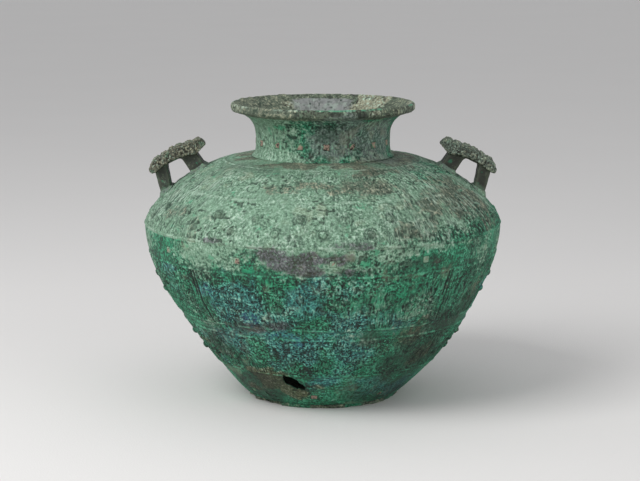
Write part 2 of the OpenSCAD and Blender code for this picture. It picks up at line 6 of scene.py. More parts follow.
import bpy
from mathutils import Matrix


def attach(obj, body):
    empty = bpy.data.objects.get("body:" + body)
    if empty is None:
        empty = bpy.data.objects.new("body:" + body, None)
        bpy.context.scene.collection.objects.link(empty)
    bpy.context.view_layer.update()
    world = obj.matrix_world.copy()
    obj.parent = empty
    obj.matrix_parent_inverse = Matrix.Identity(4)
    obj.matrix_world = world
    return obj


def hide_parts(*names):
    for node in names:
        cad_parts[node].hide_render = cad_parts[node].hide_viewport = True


bl_info = {
    "name": "Bronze Wine Jar",
    "version": (1, 0, 0),
    "blender": (4, 5, 0),
    "location": "View3D > Sidebar > Wine Jar",
    "description": "Builds a patinated bronze wine jar around its packed solids",
    "category": "Add Mesh",
}

import math
from collections import namedtuple

import bpy
import numpy as np
from bpy.props import FloatProperty, FloatVectorProperty, IntProperty, PointerProperty

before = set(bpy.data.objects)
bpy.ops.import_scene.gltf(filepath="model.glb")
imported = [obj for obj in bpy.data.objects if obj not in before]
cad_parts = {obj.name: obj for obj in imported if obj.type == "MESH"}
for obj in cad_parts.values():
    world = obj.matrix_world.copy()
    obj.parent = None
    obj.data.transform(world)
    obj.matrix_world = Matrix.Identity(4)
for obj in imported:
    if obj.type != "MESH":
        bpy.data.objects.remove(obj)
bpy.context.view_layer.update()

MM = 0.001
TURN = 2 * math.pi


# Settings

def length(name, description, default):
    return FloatProperty(name=name, description=description, default=default, unit="LENGTH", precision=5)


def colour(name, description, code):
    return FloatVectorProperty(
        name=name, description=description, default=linear(code), size=3, min=0, max=1, subtype="COLOR"
    )


def linear(code):
    """A colour written as six hexadecimal digits, as Blender's linear values."""
    shares = [int(code[i:i + 2], 16) / 255 for i in (0, 2, 4)]
    return tuple(s / 12.92 if s <= 0.04045 else ((s + 0.055) / 1.055) ** 2.4 for s in shares)


class JarWallSettings(bpy.types.PropertyGroup):
    """Sizes of the cast wall"""

    thickness: length("Wall", "Thickness of the wall", 0.005)
    foot_radius: length("Foot radius", "Radius of the wall at the foot", 0.0817)
    foot_height: length("Foot height", "Height of the foot's lower edge", 0.004)
    belly_radius: length("Belly radius", "Radius of the wall at the seam", 0.190)
    seam_height: length("Seam height", "Height of the seam", 0.186)
    crown_radius: length("Crown radius", "Radius of the opening in the shoulder", 0.07045)
    crown_height: length("Crown height", "Height of the shoulder at the neck", 0.2582)
    neck_radius: length("Neck radius", "Outer radius of the neck", 0.0715)
    rim_radius: length("Rim radius", "Outer radius of the rim", 0.098)
    rim_height: length("Rim height", "Height of the rim", 0.315)
    grain: length("Grain", "Distance between the points of the carved surface", 0.00072)
    columns: IntProperty(name="Columns", description="Points around the wall", default=1800, min=240)
    lean: length("Lean", "How far the lower belly is pushed to one side", 0.003)


class JarOrnamentSettings(bpy.types.PropertyGroup):
    """Sizes of the ornament"""

    relief: length("Relief", "Height of a register above the plain wall", 0.0009)
    carving: length("Carving", "Depth of the ground between the carved lines", 0.0008)
    pitch: length("Line pitch", "Distance between nested lines", 0.0022)
    rib_height: length("Rib height", "Height of the ribs along a register", 0.0015)
    rib_width: length("Rib width", "Width of the ribs along a register", 0.002)
    boss_count: IntProperty(name="Bosses", description="Bosses in one ring", default=24, min=1)
    boss_radius: length("Boss radius", "Radius of a boss", 0.0038)
    boss_height: length("Boss height", "Height of a boss", 0.0024)
    curl_radius: length("Curl radius", "Radius of the curls cut in the registers", 0.0068)
    curl_depth: length("Curl depth", "Depth of those curls", 0.0009)
    chaplet: length("Chaplet", "Side of a chaplet", 0.007)
    pit_depth: length("Pits", "Depth of the corrosion pits", 0.0009)
    crust: length("Crust", "Height of the corrosion crust", 0.0005)


class JarPatinaSettings(bpy.types.PropertyGroup):
    """Colours of the metal and what has grown on it"""

    # Pale is also laid as a painted highlight on ribs, ridges, the seam and the rim edge
    pale: colour("Pale", "Palest bloom on raised edges", "b2cbb7")
    mint: colour("Mint", "Pale green bloom of the shoulder", "86a990")
    sage: colour("Sage", "Greyer green under the bloom", "64866d")
    shade: colour("Shade", "Dark green under the bloom", "3d5a48")
    jade: colour("Jade", "Light green of the belly", "57b08b")
    green: colour("Green", "Green of the belly", "2c8863")
    forest: colour("Forest", "Dark green of the belly", "19533b")
    turquoise: colour("Turquoise", "Light blue green of the belly", "82cab8")
    teal: colour("Teal", "Blue green of the belly", "409087")
    abyss: colour("Abyss", "Dark blue green of the belly", "215255")
    night: colour("Night", "Almost black green of the hollows", "0e241b")
    emerald: colour("Emerald", "Bright green spots", "1f9468")
    azurite: colour("Azurite", "Blue patches", "2f5c82")
    navy: colour("Navy", "Dark blue of the patches", "1a2a48")
    bare: colour("Bare metal", "Purplish grey where the patina is lost", "4a454d")
    worn: colour("Worn metal", "Lighter grey where the bare metal is rubbed", "6c6870")
    soil: colour("Soil", "Olive brown earth", "5a5a3d")
    umber: colour("Umber", "Dark brown of pits and specks", "28261d")
    crust: colour("Crust", "Grey olive crust", "575f4f")
    lime: colour("Lime", "Pale beige crust", "9f9d84")
    lavender: colour("Lavender", "Grey of the smooth mouth", "848786")
    slate: colour("Slate", "Grey green of the neck", "5c6e65")
    leg: colour("Leg", "Smooth olive metal of the handles", "2b3129")
    crest: colour("Crest", "Granular olive grey of the crests", "45473c")
    copper: colour("Copper", "Reddish chaplets", "968273")
    tin: colour("Tin", "Grey solder", "66706a")


class JarStageSettings(bpy.types.PropertyGroup):
    """The camera, the lamps and the floor"""

    lens: FloatProperty(name="Lens", description="Focal length in millimetres", default=108.94)
    eye: FloatVectorProperty(
        name="Eye", description="Place of the camera", default=(-0.0029577, -2.0563, 0.50676),
        size=3, subtype="TRANSLATION", precision=5,
    )
    pitch: FloatProperty(
        name="Pitch", description="How far the camera looks down",
        default=math.radians(9.4286), subtype="ANGLE",
    )
    floor: colour("Floor", "Plain pale floor", "e2e0de")
    key_power: FloatProperty(name="Key lamp", description="Power of the large lamp", default=36, unit="POWER")
    fill_power: FloatProperty(name="Fill lamp", description="Power of the weak lamp", default=8, unit="POWER")
    sky: FloatProperty(name="Sky", description="Strength of the even light", default=0.6)


# Noise and small helpers

LATTICE = np.random.default_rng(11).random((32, 32, 32), dtype=np.float32)
LATTICE_MASK = 31
SHIFT = np.array([7.31, 3.77, 5.19], np.float32)


def noise(points, size, shift=0):
    """Smooth noise from 0 to 1, with features of a given size."""
    q = points.astype(np.float32) / np.float32(size) + shift * SHIFT
    low = np.floor(q)
    f = q - low
    f = f * f * (3 - 2 * f)
    i = low.astype(np.int32) & LATTICE_MASK
    k = (i + 1) & LATTICE_MASK
    x0, y0, z0 = i[..., 0], i[..., 1], i[..., 2]
    x1, y1, z1 = k[..., 0], k[..., 1], k[..., 2]
    fx, fy, fz = f[..., 0], f[..., 1], f[..., 2]

    def along(y, z):
        a = LATTICE[x0, y, z]
        return a + (LATTICE[x1, y, z] - a) * fx

    front = along(y0, z0)
    front = front + (along(y1, z0) - front) * fy
    back = along(y0, z1)
    back = back + (along(y1, z1) - back) * fy
    return front + (back - front) * fz


def layered(points, size, octaves=3, shift=0):
    """Noise in octaves, each half the size and half the strength of the one before."""
    total, share, whole = 0, 1.0, 0.0
    for octave in range(octaves):
        total = total + share * noise(points, size / 2 ** octave, shift + octave)
        whole += share
        share /= 2
    return total / whole


def step(low, high, value):
    t = np.clip((value - low) / (high - low), 0, 1)
    return t * t * (3 - 2 * t)


def bezier(points, count=400):
    a, b, c, d = (np.array(p) for p in points)
    t = np.linspace(0, 1, count)[:, None]
    s = 1 - t
    return s ** 3 * a + 3 * s * s * t * b + 3 * s * t * t * c + t ** 3 * d


def arc(centre, radius, start, end, count=12):
    a = np.radians(np.linspace(start, end, count))
    return np.column_stack([centre[0] + radius * np.cos(a), centre[1] + radius * np.sin(a)])


def lengths_along(places):
    return np.concatenate([[0], np.cumsum(np.hypot(*np.diff(places, axis=0).T))])


def resample(places, spacing):
    """The same line with evenly spaced points."""
    places = np.asarray(places, float)
    along = lengths_along(places)
    at = np.linspace(0, along[-1], max(2, round(along[-1] / spacing) + 1))
    return np.column_stack([np.interp(at, along, places[:, k]) for k in (0, 1)])


def blurred(field, reach):
    """The field averaged over a square of 2 * reach + 1 points, wrapped round the jar."""
    for axis in (0, 1):
        field = sum(np.roll(field, k, axis) for k in range(-reach, reach + 1)) / (2 * reach + 1)
    return field


# Turned walls

Turned = namedtuple("Turned", "r z out_r out_z along seen angle points")
MAP_STRIPS = 2
MAP_MARGIN = 0.004


def turned(places, seen, columns):
    """A closed outline turned round the axis. Rows run up the outside and down the inside."""
    places = np.asarray(places, float)
    ahead = np.roll(places, -1, 0) - np.roll(places, 1, 0)
    ahead /= np.hypot(*ahead.T)[:, None]
    angle = np.arange(columns) * TURN / columns - math.pi
    r, z = places.T
    points = np.empty((len(r), columns, 3), np.float32)
    points[..., 0] = r[:, None] * np.sin(angle)
    points[..., 1] = -r[:, None] * np.cos(angle)
    points[..., 2] = z[:, None]
    along = lengths_along(places)
    return Turned(r, z, ahead[:, 1], -ahead[:, 0], along, np.asarray(seen, bool), angle, points)


def raised(wall, height, angle=None, slide=None):
    """The wall's points moved out by a height, and where given, turned and slid along the wall."""
    angle = wall.angle[None, :] if angle is None else angle
    slide = 0 if slide is None else slide
    r = wall.r[:, None] + height * wall.out_r[:, None] - slide * wall.out_z[:, None]
    z = wall.z[:, None] + height * wall.out_z[:, None] + slide * wall.out_r[:, None]
    return np.stack([r * np.sin(angle), -r * np.cos(angle), z + 0 * r], -1)


def grid_faces(rows, columns):
    """Corner numbers of a grid that closes both ways."""
    i, j = np.meshgrid(np.arange(rows), np.arange(columns), indexing="ij")
    up, across = (i + 1) % rows, (j + 1) % columns
    return np.stack([i * columns + j, i * columns + across, up * columns + across, up * columns + j], -1)


def grid_map(wall, closing):
    """Texture places of a wall's corners: the turned surface in strips, one above the other."""
    along = np.append(wall.along, wall.along[-1] + closing)
    v = along / along[-1]
    columns = len(wall.angle)
    j = np.arange(columns)
    strip = j * MAP_STRIPS // columns
    u0 = j * MAP_STRIPS / columns - strip
    u1 = u0 + MAP_STRIPS / columns
    low, high = v[:-1, None], v[1:, None]
    u = np.stack(np.broadcast_arrays(u0[None] + 0 * low, u1[None], u1[None], u0[None]), -1)
    w = np.stack(np.broadcast_arrays(low + 0 * u0, low, high, high), -1)
    u = MAP_MARGIN + (1 - 2 * MAP_MARGIN) * u
    w = (strip[None, :, None] + MAP_MARGIN + (1 - 2 * MAP_MARGIN) * w) / MAP_STRIPS
    return np.stack([u, w], -1)


def mesh_piece(name, points, faces, uv=None, traits=None):
    """A smooth mesh object from arrays of points and four-cornered faces."""
    mesh = bpy.data.meshes.new(name)
    mesh.vertices.add(len(points))
    mesh.vertices.foreach_set("co", np.ascontiguousarray(points, np.float32).ravel())
    mesh.loops.add(faces.size)
    mesh.loops.foreach_set("vertex_index", np.ascontiguousarray(faces, np.int32).ravel())
    mesh.polygons.add(len(faces))
    mesh.polygons.foreach_set("loop_start", np.arange(0, faces.size, 4, dtype=np.int32))
    if uv is not None:
        layer = mesh.uv_layers.new(name="OFBake")
        layer.data.foreach_set("uv", np.ascontiguousarray(uv, np.float32).ravel())
    mesh.update(calc_edges=True)
    if mesh.validate():
        raise ValueError(name + " has faulty faces")
    mesh.shade_smooth()
    add_traits(mesh, traits or {})
    piece = bpy.data.objects.new(name, mesh)
    bpy.context.scene.collection.objects.link(piece)
    return piece


def add_traits(mesh, traits):
    """Stores values per point that the finishes read."""
    for trait, values in traits.items():
        vector = values.ndim > 1 and values.shape[-1] == 3
        stored = mesh.attributes.new(trait, "FLOAT_VECTOR" if vector else "FLOAT", "POINT")
        flat = np.ascontiguousarray(values, np.float32).ravel()
        stored.data.foreach_set("vector" if vector else "value", flat)


def wall_piece(name, wall, height, traits):
    """A turned wall, raised by a height, as a mesh object."""
    faces = grid_faces(len(wall.r), len(wall.angle)).reshape(-1, 4)
    uv = grid_map(wall, 0.001).reshape(-1, 4, 2)
    return mesh_piece(name, raised(wall, height).reshape(-1, 3), faces, uv, traits)


def coat(piece, make):
    """Gives a piece its finish. Each finish is made once."""
    made = bpy.data.materials.get(make.__name__)
    piece.data.materials.clear()
    piece.data.materials.append(made or make(make.__name__, bpy.context.scene.jar_patina))


def dress(piece, nodes, make):
    """Hangs a piece on the frame in place of its solids and gives it its finish."""
    coat(piece, make)
    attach(piece, "root")
    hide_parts(*nodes)


# Ornament

Register = namedtuple("Register", "bottom top columns rows kept broken rings")
Ring = namedtuple("Ring", "height offset bossed")
Zone = namedtuple("Zone", "angle height half_angle half_height amount")

BELLY_REGISTERS = (
    Register(0.043, 0.088, 4, 6, 0.8, 0.4, (Ring(0.05925, 0, True), Ring(0.07175, 0.5, True))),
    Register(0.099, 0.159, 5, 8, 0.9, 0.44, (Ring(0.12275, 0, True), Ring(0.13525, 0.5, True))),
)
SHOULDER_REGISTERS = (
    Register(0.188, 0.228, 5, 6, 0.75, 0.3, (Ring(0.20075, 0, True), Ring(0.21325, 0.5, True))),
    Register(0.2287, 0.2535, 4, 7, 0.7, 0.2, (Ring(0.2388, 0, False), Ring(0.2481, 0.5, False))),
)
ChapletRing = namedtuple("ChapletRing", "node count first height slot_depth mint clean")
NECK_CHAPLETS = ChapletRing("neck_chaplets", 16, 3, 0.274, 0.0024, 0.3, range(16))
BELT_CHAPLETS = ChapletRing("belt_chaplets", 12, 3, 0.1725, 0.0045, 0.9, (5, 11))
FOOT_CHAPLETS = ChapletRing("foot_chaplets", 8, -6, 0.015, 0.0045, 0.1, (0, 3))
CHAPLET_SHARE = 0.93
BASE_CHAPLET_CIRCLE = 0.044
BASE_HOLLOW = 0.0012
CELL = math.radians(15)
PANEL_LINES = (-135, -45, 45, 135)
CURL_TURN = math.radians(290)
CURL_HALF_WIDTH = 0.0010
HANDLE_SPAN = 12.9
BELOW_HANDLES = 0.186
PANEL_BORDER = 0.0048
GROOVE_HALF_WIDTH = 0.0012
GROOVE_DEPTH = 0.0012
CRISP = 0.00004
FULL_RELIEF = 0.0005
POCKET_DEPTH = 0.0006
PANEL_SPAN = (0.101, 0.157)
FOOT_WIDTH = 0.00835
SEAT_DEPTH = 0.001
SPIGOT_DEPTH = 0.008
RIM_ROUND = 0.003
RING_ROUND = 0.0010
BASE_CHAPLET_DEPTH = 0.0024


def coil(centre, radius, start, turns, square=0.6, inner=0.22, points=22):
    """A spiral that opens outwards, drawn towards a square."""
    a = math.radians(start) + np.linspace(0, turns * TURN, points)
    grow = radius * np.linspace(inner, 1, points)
    squared = 1 + square * (1 / np.maximum(abs(np.cos(a)), abs(np.sin(a))) - 1) * 0.7
    return np.column_stack([centre[0] + grow * squared * np.cos(a), centre[1] + grow * squared * np.sin(a)])


def motif_lines(w, h, columns, rows):
    """Square coils, hooks and bars that fill one cell of a register, w wide and h high."""
    lines = []
    pitch_x, pitch_y = w / columns, h / rows
    radius = 0.43 * min(pitch_x, pitch_y)
    for row in range(rows):
        for column in range(columns):
            x, y = (column + 0.5) * pitch_x, (row + 0.5) * pitch_y
            quarter = (column + 2 * row + row // 2) % 4
            lines.append(coil((x, y), radius, 90 * quarter + 30, 1.15 if quarter % 2 else 0.85))
            ends = ((-0.5, -0.42), (-0.5, 0.42)) if (row + column) % 2 else ((-0.3, 0.5), (0.5, 0.5))
            lines.append(np.array([[x + u * pitch_x, y + v * pitch_y] for u, v in ends]))
    return lines


def nearest_line(x, y, lines):
    """How far each place is from the nearest of the lines."""
    nearest = np.full(x.shape, 1.0, np.float32)
    for line in lines:
        for a, b in zip(line[:-1], line[1:]):
            d = b - a
            t = np.clip(((x - a[0]) * d[0] + (y - a[1]) * d[1]) / (d @ d), 0, 1)
            np.minimum(nearest, np.hypot(x - a[0] - t * d[0], y - a[1] - t * d[1]), out=nearest)
    return nearest


def around(angle, first, spacing):
    """Angle from the nearest of a ring of places."""
    return (angle - first + spacing / 2) % spacing - spacing / 2


def unrolled(wall, rows, radius):
    """Places on an upright cylinder: the wall with its slope taken out."""
    sheet = np.empty((len(rows), len(wall.angle), 3), np.float32)
    sheet[..., 0] = radius * np.sin(wall.angle)
    sheet[..., 1] = -radius * np.cos(wall.angle)
    sheet[..., 2] = wall.along[rows, None]
    return sheet


def carve(wall, registers, ornament, seed):
    """Height of the ornament over the plain wall, and masks of its fields, bosses and ribs; the rib mask is
    where a painted highlight is laid.
    """
    height = np.zeros(wall.points.shape[:2], np.float32)
    masks = {name: np.zeros_like(height) for name in ("field", "dome", "rib")}
    smoothed = zoned(wall, WORN_PATCHES, seed + 6, MOST_RAGGED)
    outside = np.flatnonzero(wall.seen)
    z_out, along_out = wall.z[outside], wall.along[outside]
    for number, register in enumerate(registers):
        rows = outside[(z_out >= register.bottom) & (z_out <= register.top)]
        along = wall.along[rows]
        span = along[-1] - along[0]
        middle = wall.r[rows].mean()
        cell = np.floor(wall.angle / CELL).astype(int)
        across = wall.angle / CELL - cell
        across = np.where(cell % 2 == 0, across, 1 - across) * CELL * middle
        points = wall.points[rows]
        shake = 0.006
        x = across[None, :] + shake * (noise(points, 0.011, seed + number) - 0.5)
        y = (along - along[0])[:, None] + shake * (noise(points, 0.011, seed + number + 4) - 0.5)
        lines = motif_lines(CELL * middle, span, register.columns, register.rows)
        away = nearest_line(x.astype(np.float32), y.astype(np.float32), lines)
        coils = step(0.15, 0.8, 0.5 + 0.5 * np.cos(TURN * away / ornament.pitch))
        coils = coils * (1 - 0.4 * step(0.5, 1.6, away / ornament.pitch))
        sheet = unrolled(wall, rows, middle) * (1, 1, 0.3)
        strokes = 1 - step(0.05, 0.22, abs(noise(sheet, 0.0027, seed + 16) - 0.5))
        broken = step(register.broken - 0.1, register.broken + 0.1, noise(points, 0.009, seed + 18))
        line = coils * (1 - broken) + strokes * broken
        lost = 0.45 * register.kept
        left = step(0.62 - lost, 0.95 - lost, layered(points, 0.03, 2, seed + 9))
        kept = (0.35 + 0.65 * left) * (1 - 0.8 * smoothed[rows])
        inside = step(0, 0.002, np.minimum(along - along[0], along[-1] - along))[:, None]
        height[rows] = ornament.relief - ornament.carving * ((1 - line) * kept + 0.4 * (1 - kept)) * inside
        masks["field"][rows] = inside * (1 - 0.7 * smoothed[rows])
        for edge in (along[0], along[-1]):
            bar = np.exp(-((wall.along[outside] - edge) / (0.55 * ornament.rib_width)) ** 2)
            worn = 0.45 + 0.55 * noise(wall.points[outside], 0.02, seed + 13)
            height[outside] = np.maximum(height[outside], ornament.rib_height * bar[:, None] * worn)
            # The rib mask is where a painted highlight is laid
            masks["rib"][outside] = np.maximum(masks["rib"][outside], bar[:, None] * worn)
        for ring in register.rings:
            level = np.interp(ring.height, z_out, along_out)
            add_ring(wall, height, masks["dome"], outside, level, ring, ornament, seed)
    return height, masks


def add_ring(wall, height, domes, outside, level, ring, ornament, seed):
    """A ring of curls that open up and down in turn, with a worn dome in each where the ring is bossed."""
    spacing = TURN / ornament.boss_count
    first = ring.offset * spacing
    near = outside[abs(wall.along[outside] - level) < 1.5 * ornament.curl_radius]
    number = np.round((wall.angle - first) / spacing).astype(int) % ornament.boss_count
    draw = np.random.default_rng(seed + int(ring.height / MM))
    strength = draw.uniform(0.55, 1.05, ornament.boss_count)[number]
    x = around(wall.angle, first, spacing)[None, :] * wall.r[near, None]
    y = (wall.along[near] - level)[:, None]
    away = np.hypot(x, y)
    flip = np.where(number % 2, -1, 1)
    turn = abs(np.arctan2(flip * x, -flip * y))
    clear = abs(np.degrees(first + number * spacing) % 180 - 90) > HANDLE_SPAN
    if wall.z[near].mean() > BELOW_HANDLES:
        strength = np.where(clear, strength, 0.3)
    worn = noise(wall.points[near], 0.007, seed + 22)
    opened = 1 - step(-0.1, 0.1, turn - CURL_TURN / 2)
    curl = np.exp(-((away - ornament.curl_radius) / CURL_HALF_WIDTH) ** 2) * opened
    height[near] -= ornament.curl_depth * curl * step(0.2, 0.6, worn) * clear
    if ring.bossed:
        share = away / ornament.boss_radius
        dome = np.sqrt(np.clip(1 - share ** 2, 0, 1))
        rough = 0.0007 * (noise(wall.points[near], 0.0026, seed + 21) - 0.5)
        boss = ornament.relief + ornament.boss_height * dome * strength + rough * dome
        height[near] = np.where(share < 1, boss, height[near])
        domes[near] = np.maximum(domes[near], 1 - step(0.85, 1.3, share))


def add_panel_lines(wall, height, relief, bottom, top):
    """Upright double grooves that part the panels of a register. Returns where they are."""
    rows = np.flatnonzero(wall.seen & (wall.z > bottom) & (wall.z < top))
    share = (wall.z[rows] - bottom) / (top - bottom)
    grooves = np.zeros_like(height)
    for place in PANEL_LINES:
        x = around(wall.angle, math.radians(place), TURN)[None, :] * wall.r[rows, None]
        border = np.exp(-(x / PANEL_BORDER) ** 4)
        height[rows] += 0.75 * border * (relief - height[rows])
        for offset, start in ((0.0, 0.02), (-0.0040, 0.5)):
            groove = np.exp(-((x - offset) / GROOVE_HALF_WIDTH) ** 2)
            groove = groove * step(start, start + 0.05, share)[:, None]
            height[rows] -= GROOVE_DEPTH * groove
            grooves[rows] = np.maximum(grooves[rows], groove)
    return grooves


def add_chaplet_pockets(wall, height, ring, side):
    """Shallow square pockets that the chaplets lie in."""
    outside = np.flatnonzero(wall.seen)
    along = wall.along[outside] - np.interp(ring.height, wall.z[outside], wall.along[outside])
    near = abs(along) < side
    rows = outside[near]
    x = around(wall.angle, math.radians(ring.first), TURN / ring.count)[None, :] * wall.r[rows, None]
    away = np.maximum(abs(x), abs(along[near])[:, None])
    pocket = 1 - step(side / 2 - 0.0002, side / 2 + 0.0008, away)
    height[rows] = height[rows] * (1 - pocket) - POCKET_DEPTH * pocket


def corrode(wall, height, ornament, roughness, pitting, crusting, seed):
    """Swells, pits and crusts the surface. Returns how far each place is pitted and crusted."""
    points = wall.points
    swell = 0.0006 * (layered(points, 0.045, 2, seed) - 0.5)
    rough = 0.0007 * (layered(points, 0.009, 3, seed + 3) - 0.5)
    pitted = step(0.45, 0.65, layered(points, 0.03, 2, seed + 8))
    pits = step(0.66, 0.80, noise(points, 0.0034, seed + 7)) * pitted
    crusted = step(0.42, 0.6, noise(points, 0.05, seed + 12))
    scab = step(0.56, 0.74, layered(points, 0.012, 3, seed + 11)) * crusted
    outside = wall.seen[:, None]
    height += swell + np.where(outside, roughness * rough, 0.5 * rough)
    height += np.where(outside, crusting * ornament.crust * scab - pitting * ornament.pit_depth * pits, 0)
    return pits * outside, scab * outside


# Patches and traits of the wall

def zones(*rows):
    """Patches of a wall: angle, height, half angle, half height (degrees, millimetres) and amount."""
    return tuple(Zone(*row) for row in rows)


def zoned(wall, patches, seed, ragged):
    """Soft patches at named places, with broken edges."""
    amount = np.zeros(wall.points.shape[:2], np.float32)
    wander = layered(wall.points, 0.026, 4, seed) - 0.5
    for zone in patches:
        x = np.degrees(around(wall.angle, math.radians(zone.angle), TURN))[None, :] / zone.half_angle
        y = (wall.z / MM - zone.height)[:, None] / zone.half_height
        away = np.hypot(x, y) + ragged * min(1, zone.half_angle / 12) * wander
        np.maximum(amount, zone.amount * (1 - step(0.15, 1.35, away)), out=amount)
    return amount


WORN_PATCHES = zones(
    (-14, 222, 30, 36, 0.9), (-44, 236, 24, 24, 0.8), (18, 212, 18, 22, 0.6), (62, 124, 9, 18, 0.9),
    (26, 138, 8, 14, 0.7), (-64, 90, 10, 24, 0.7), (100, 215, 30, 20, 0.6),
    (-150, 130, 30, 24, 0.7), (170, 215, 30, 20, 0.7),
)
PATCHES = {
    "teal": zones(
        (-20, 114, 34, 46, 1.0), (-6, 68, 22, 34, 1.0), (-60, 150, 14, 12, 0.7),
        (30, 24, 26, 16, 0.6), (10, 113, 14, 20, 1.0), (120, 100, 40, 40, 0.9),
        (-140, 130, 30, 30, 0.8), (-110, 60, 24, 24, 0.7), (178, 60, 22, 22, 0.8),
    ),
    "azurite": zones(
        (-27, 112, 12, 16, 0.85), (-42, 136, 8, 12, 0.7), (-9, 82, 12, 14, 0.8),
        (-20, 92, 12, 10, 0.6), (4, 118, 12, 12, 0.5), (-57, 154, 7, 7, 0.7),
        (150, 110, 24, 20, 0.8), (85, 130, 14, 14, 0.6), (-120, 80, 14, 14, 0.6),
    ),
    "bare": zones(
        (-17, 180, 8, 10, 1.0), (-11, 172, 9, 10, 1.0), (-4, 165, 9, 8, 1.0), (3, 177, 9, 9, 1.0),
        (-4, 178, 9, 9, 1.0), (7, 164, 9, 6, 0.7), (-27, 100, 7, 8, 0.85), (-17, 104, 7, 7, 0.8),
        (-4, 98, 9, 5, 0.6), (9, 190, 8, 6, 0.7), (-36, 190, 6, 4, 0.7), (130, 172, 16, 9, 0.8),
        (-155, 104, 12, 8, 0.8), (20, 252, 16, 6, 0.5),
    ),
    "soil": zones(
        (35, 90, 10, 20, 0.6), (-28, 34, 20, 20, 1.0), (50, 64, 12, 14, 0.6), (54, 240, 8, 6, 0.7),
        (-150, 70, 24, 24, 0.7), (-5, 30, 8, 5, 0.6), (-48, 20, 10, 8, 0.8), (62, 128, 8, 20, 0.5),
        (-62, 70, 6, 8, 0.7),
    ),
    "emerald": zones(
        (12, 172, 9, 11, 1.0), (-24, 163, 4, 5, 1.0), (-12, 150, 16, 8, 0.75),
        (24, 136, 9, 16, 0.85), (8, 58, 22, 16, 0.6), (-36, 294, 16, 7, 0.8),
        (-70, 100, 10, 30, 0.5), (-100, 120, 20, 20, 0.6),
    ),
    "crust": zones(
        (60, 222, 26, 26, 0.7), (20, 240, 30, 12, 0.6), (-58, 210, 14, 14, 0.5),
        (40, 253, 40, 8, 0.9), (26, 203, 8, 15, 0.6), (-140, 220, 26, 20, 0.7),
        (150, 230, 30, 14, 0.7), (-46, 208, 8, 8, 0.4),
    ),
    # Real dark brown patches, and painted shade on the lower right belly, the foot and the band under the
    # neck ring
    "dim": zones(
        (46, 70, 28, 52, 1.0), (62, 120, 16, 40, 0.7), (-40, 22, 28, 22, 1.0),
        (6, 284, 22, 12, 0.5), (-52, 70, 14, 34, 0.6), (-50, 311, 34, 7, 0.4),
        (40, 16, 40, 16, 0.6), (-40, 253, 44, 8, 0.5), (40, 253, 44, 8, 0.5), (7, 311, 6, 4, 0.9),
        (24.7, 309, 4, 6, 1.0), (-33, 98, 5, 11, 1.0), (-11.5, 26, 3, 4, 1.0),
        (-170, 60, 40, 50, 0.8), (30, 170, 12, 8, 0.6), (14, 26, 16, 14, 0.5),
        (17, 88, 10, 14, 0.7),
    ),
    "slate": zones(
        (8, 284, 34, 30, 1.0), (56, 278, 34, 30, 1.0), (-150, 280, 40, 20, 0.8),
    ),
    "lime": zones(
        (144, 304, 20, 14, 1.0), (-150, 306, 16, 8, 0.6), (-70, 313, 12, 5, 0.5),
        (34, 311, 8, 6, 0.7), (100, 313, 16, 5, 0.7),
    ),
    "stroke": zones(
        (62, 222, 30, 30, 1.0), (-66, 222, 20, 26, 1.0), (58, 136, 18, 36, 0.9),
        (-52, 126, 14, 30, 0.5), (14, 122, 24, 26, 0.8), (120, 140, 40, 40, 0.8),
        (-130, 220, 40, 30, 0.8),
    ),
}
RAGGED = {"slate": 1.2, "dim": 1.2, "bare": 1.8}
MOST_RAGGED = 3.0


def wall_traits(wall, height, masks, pits, scab, mint, seed):
    """What the wall finish reads at each point."""
    level = height - blurred(height, 4)
    grow = layered(wall.points, 0.05, 3, seed)
    outside = wall.seen[:, None].astype(np.float32)
    traits = {
        "hollow": np.clip(-level / FULL_RELIEF, 0, 1) * outside,
        # Raised places, where a painted highlight is laid
        "ridge": np.clip(level / FULL_RELIEF, 0, 1) * (1 - 0.9 * masks["dome"]) * outside,
        "pit": pits,
        "scab": scab,
        "groove": 0 * height,
        "mint": np.clip(mint + 0.7 * (grow - 0.5), 0, 1) * outside,
        "inside": 1 - outside + 0 * height,
        "smooth": 0 * height,
        "sheet": unrolled(wall, np.arange(len(wall.r)), wall.r[wall.seen].mean()),
        **masks,
    }
    for number, (trait, patches) in enumerate(PATCHES.items()):
        ragged = RAGGED.get(trait, MOST_RAGGED)
        traits[trait] = zoned(wall, patches, seed + 2 + number, ragged) * outside
    return traits


# Outlines and the seam

def belly_outline(jar):
    return bezier((
        (jar.foot_radius, jar.foot_height), (0.10796, 0.02365),
        (jar.belly_radius, 0.1245), (jar.belly_radius, jar.seam_height),
    ))


def shoulder_outline(jar):
    return bezier((
        (jar.belly_radius, jar.seam_height), (jar.belly_radius, 0.202),
        (0.13945, jar.crown_height), (jar.crown_radius, jar.crown_height),
    ))


def inner_line(places, thickness):
    """The inside of a wall whose outside runs upwards."""
    ahead = np.gradient(places, axis=0)
    ahead /= np.hypot(*ahead.T)[:, None]
    return places - thickness * np.column_stack([ahead[:, 1], -ahead[:, 0]])


def soften_seam(wall, height, level):
    """Lets the relief die out at the seam."""
    away = abs(wall.z - level)
    height *= np.where(wall.seen, step(0, 0.0025, away), 1)[:, None]


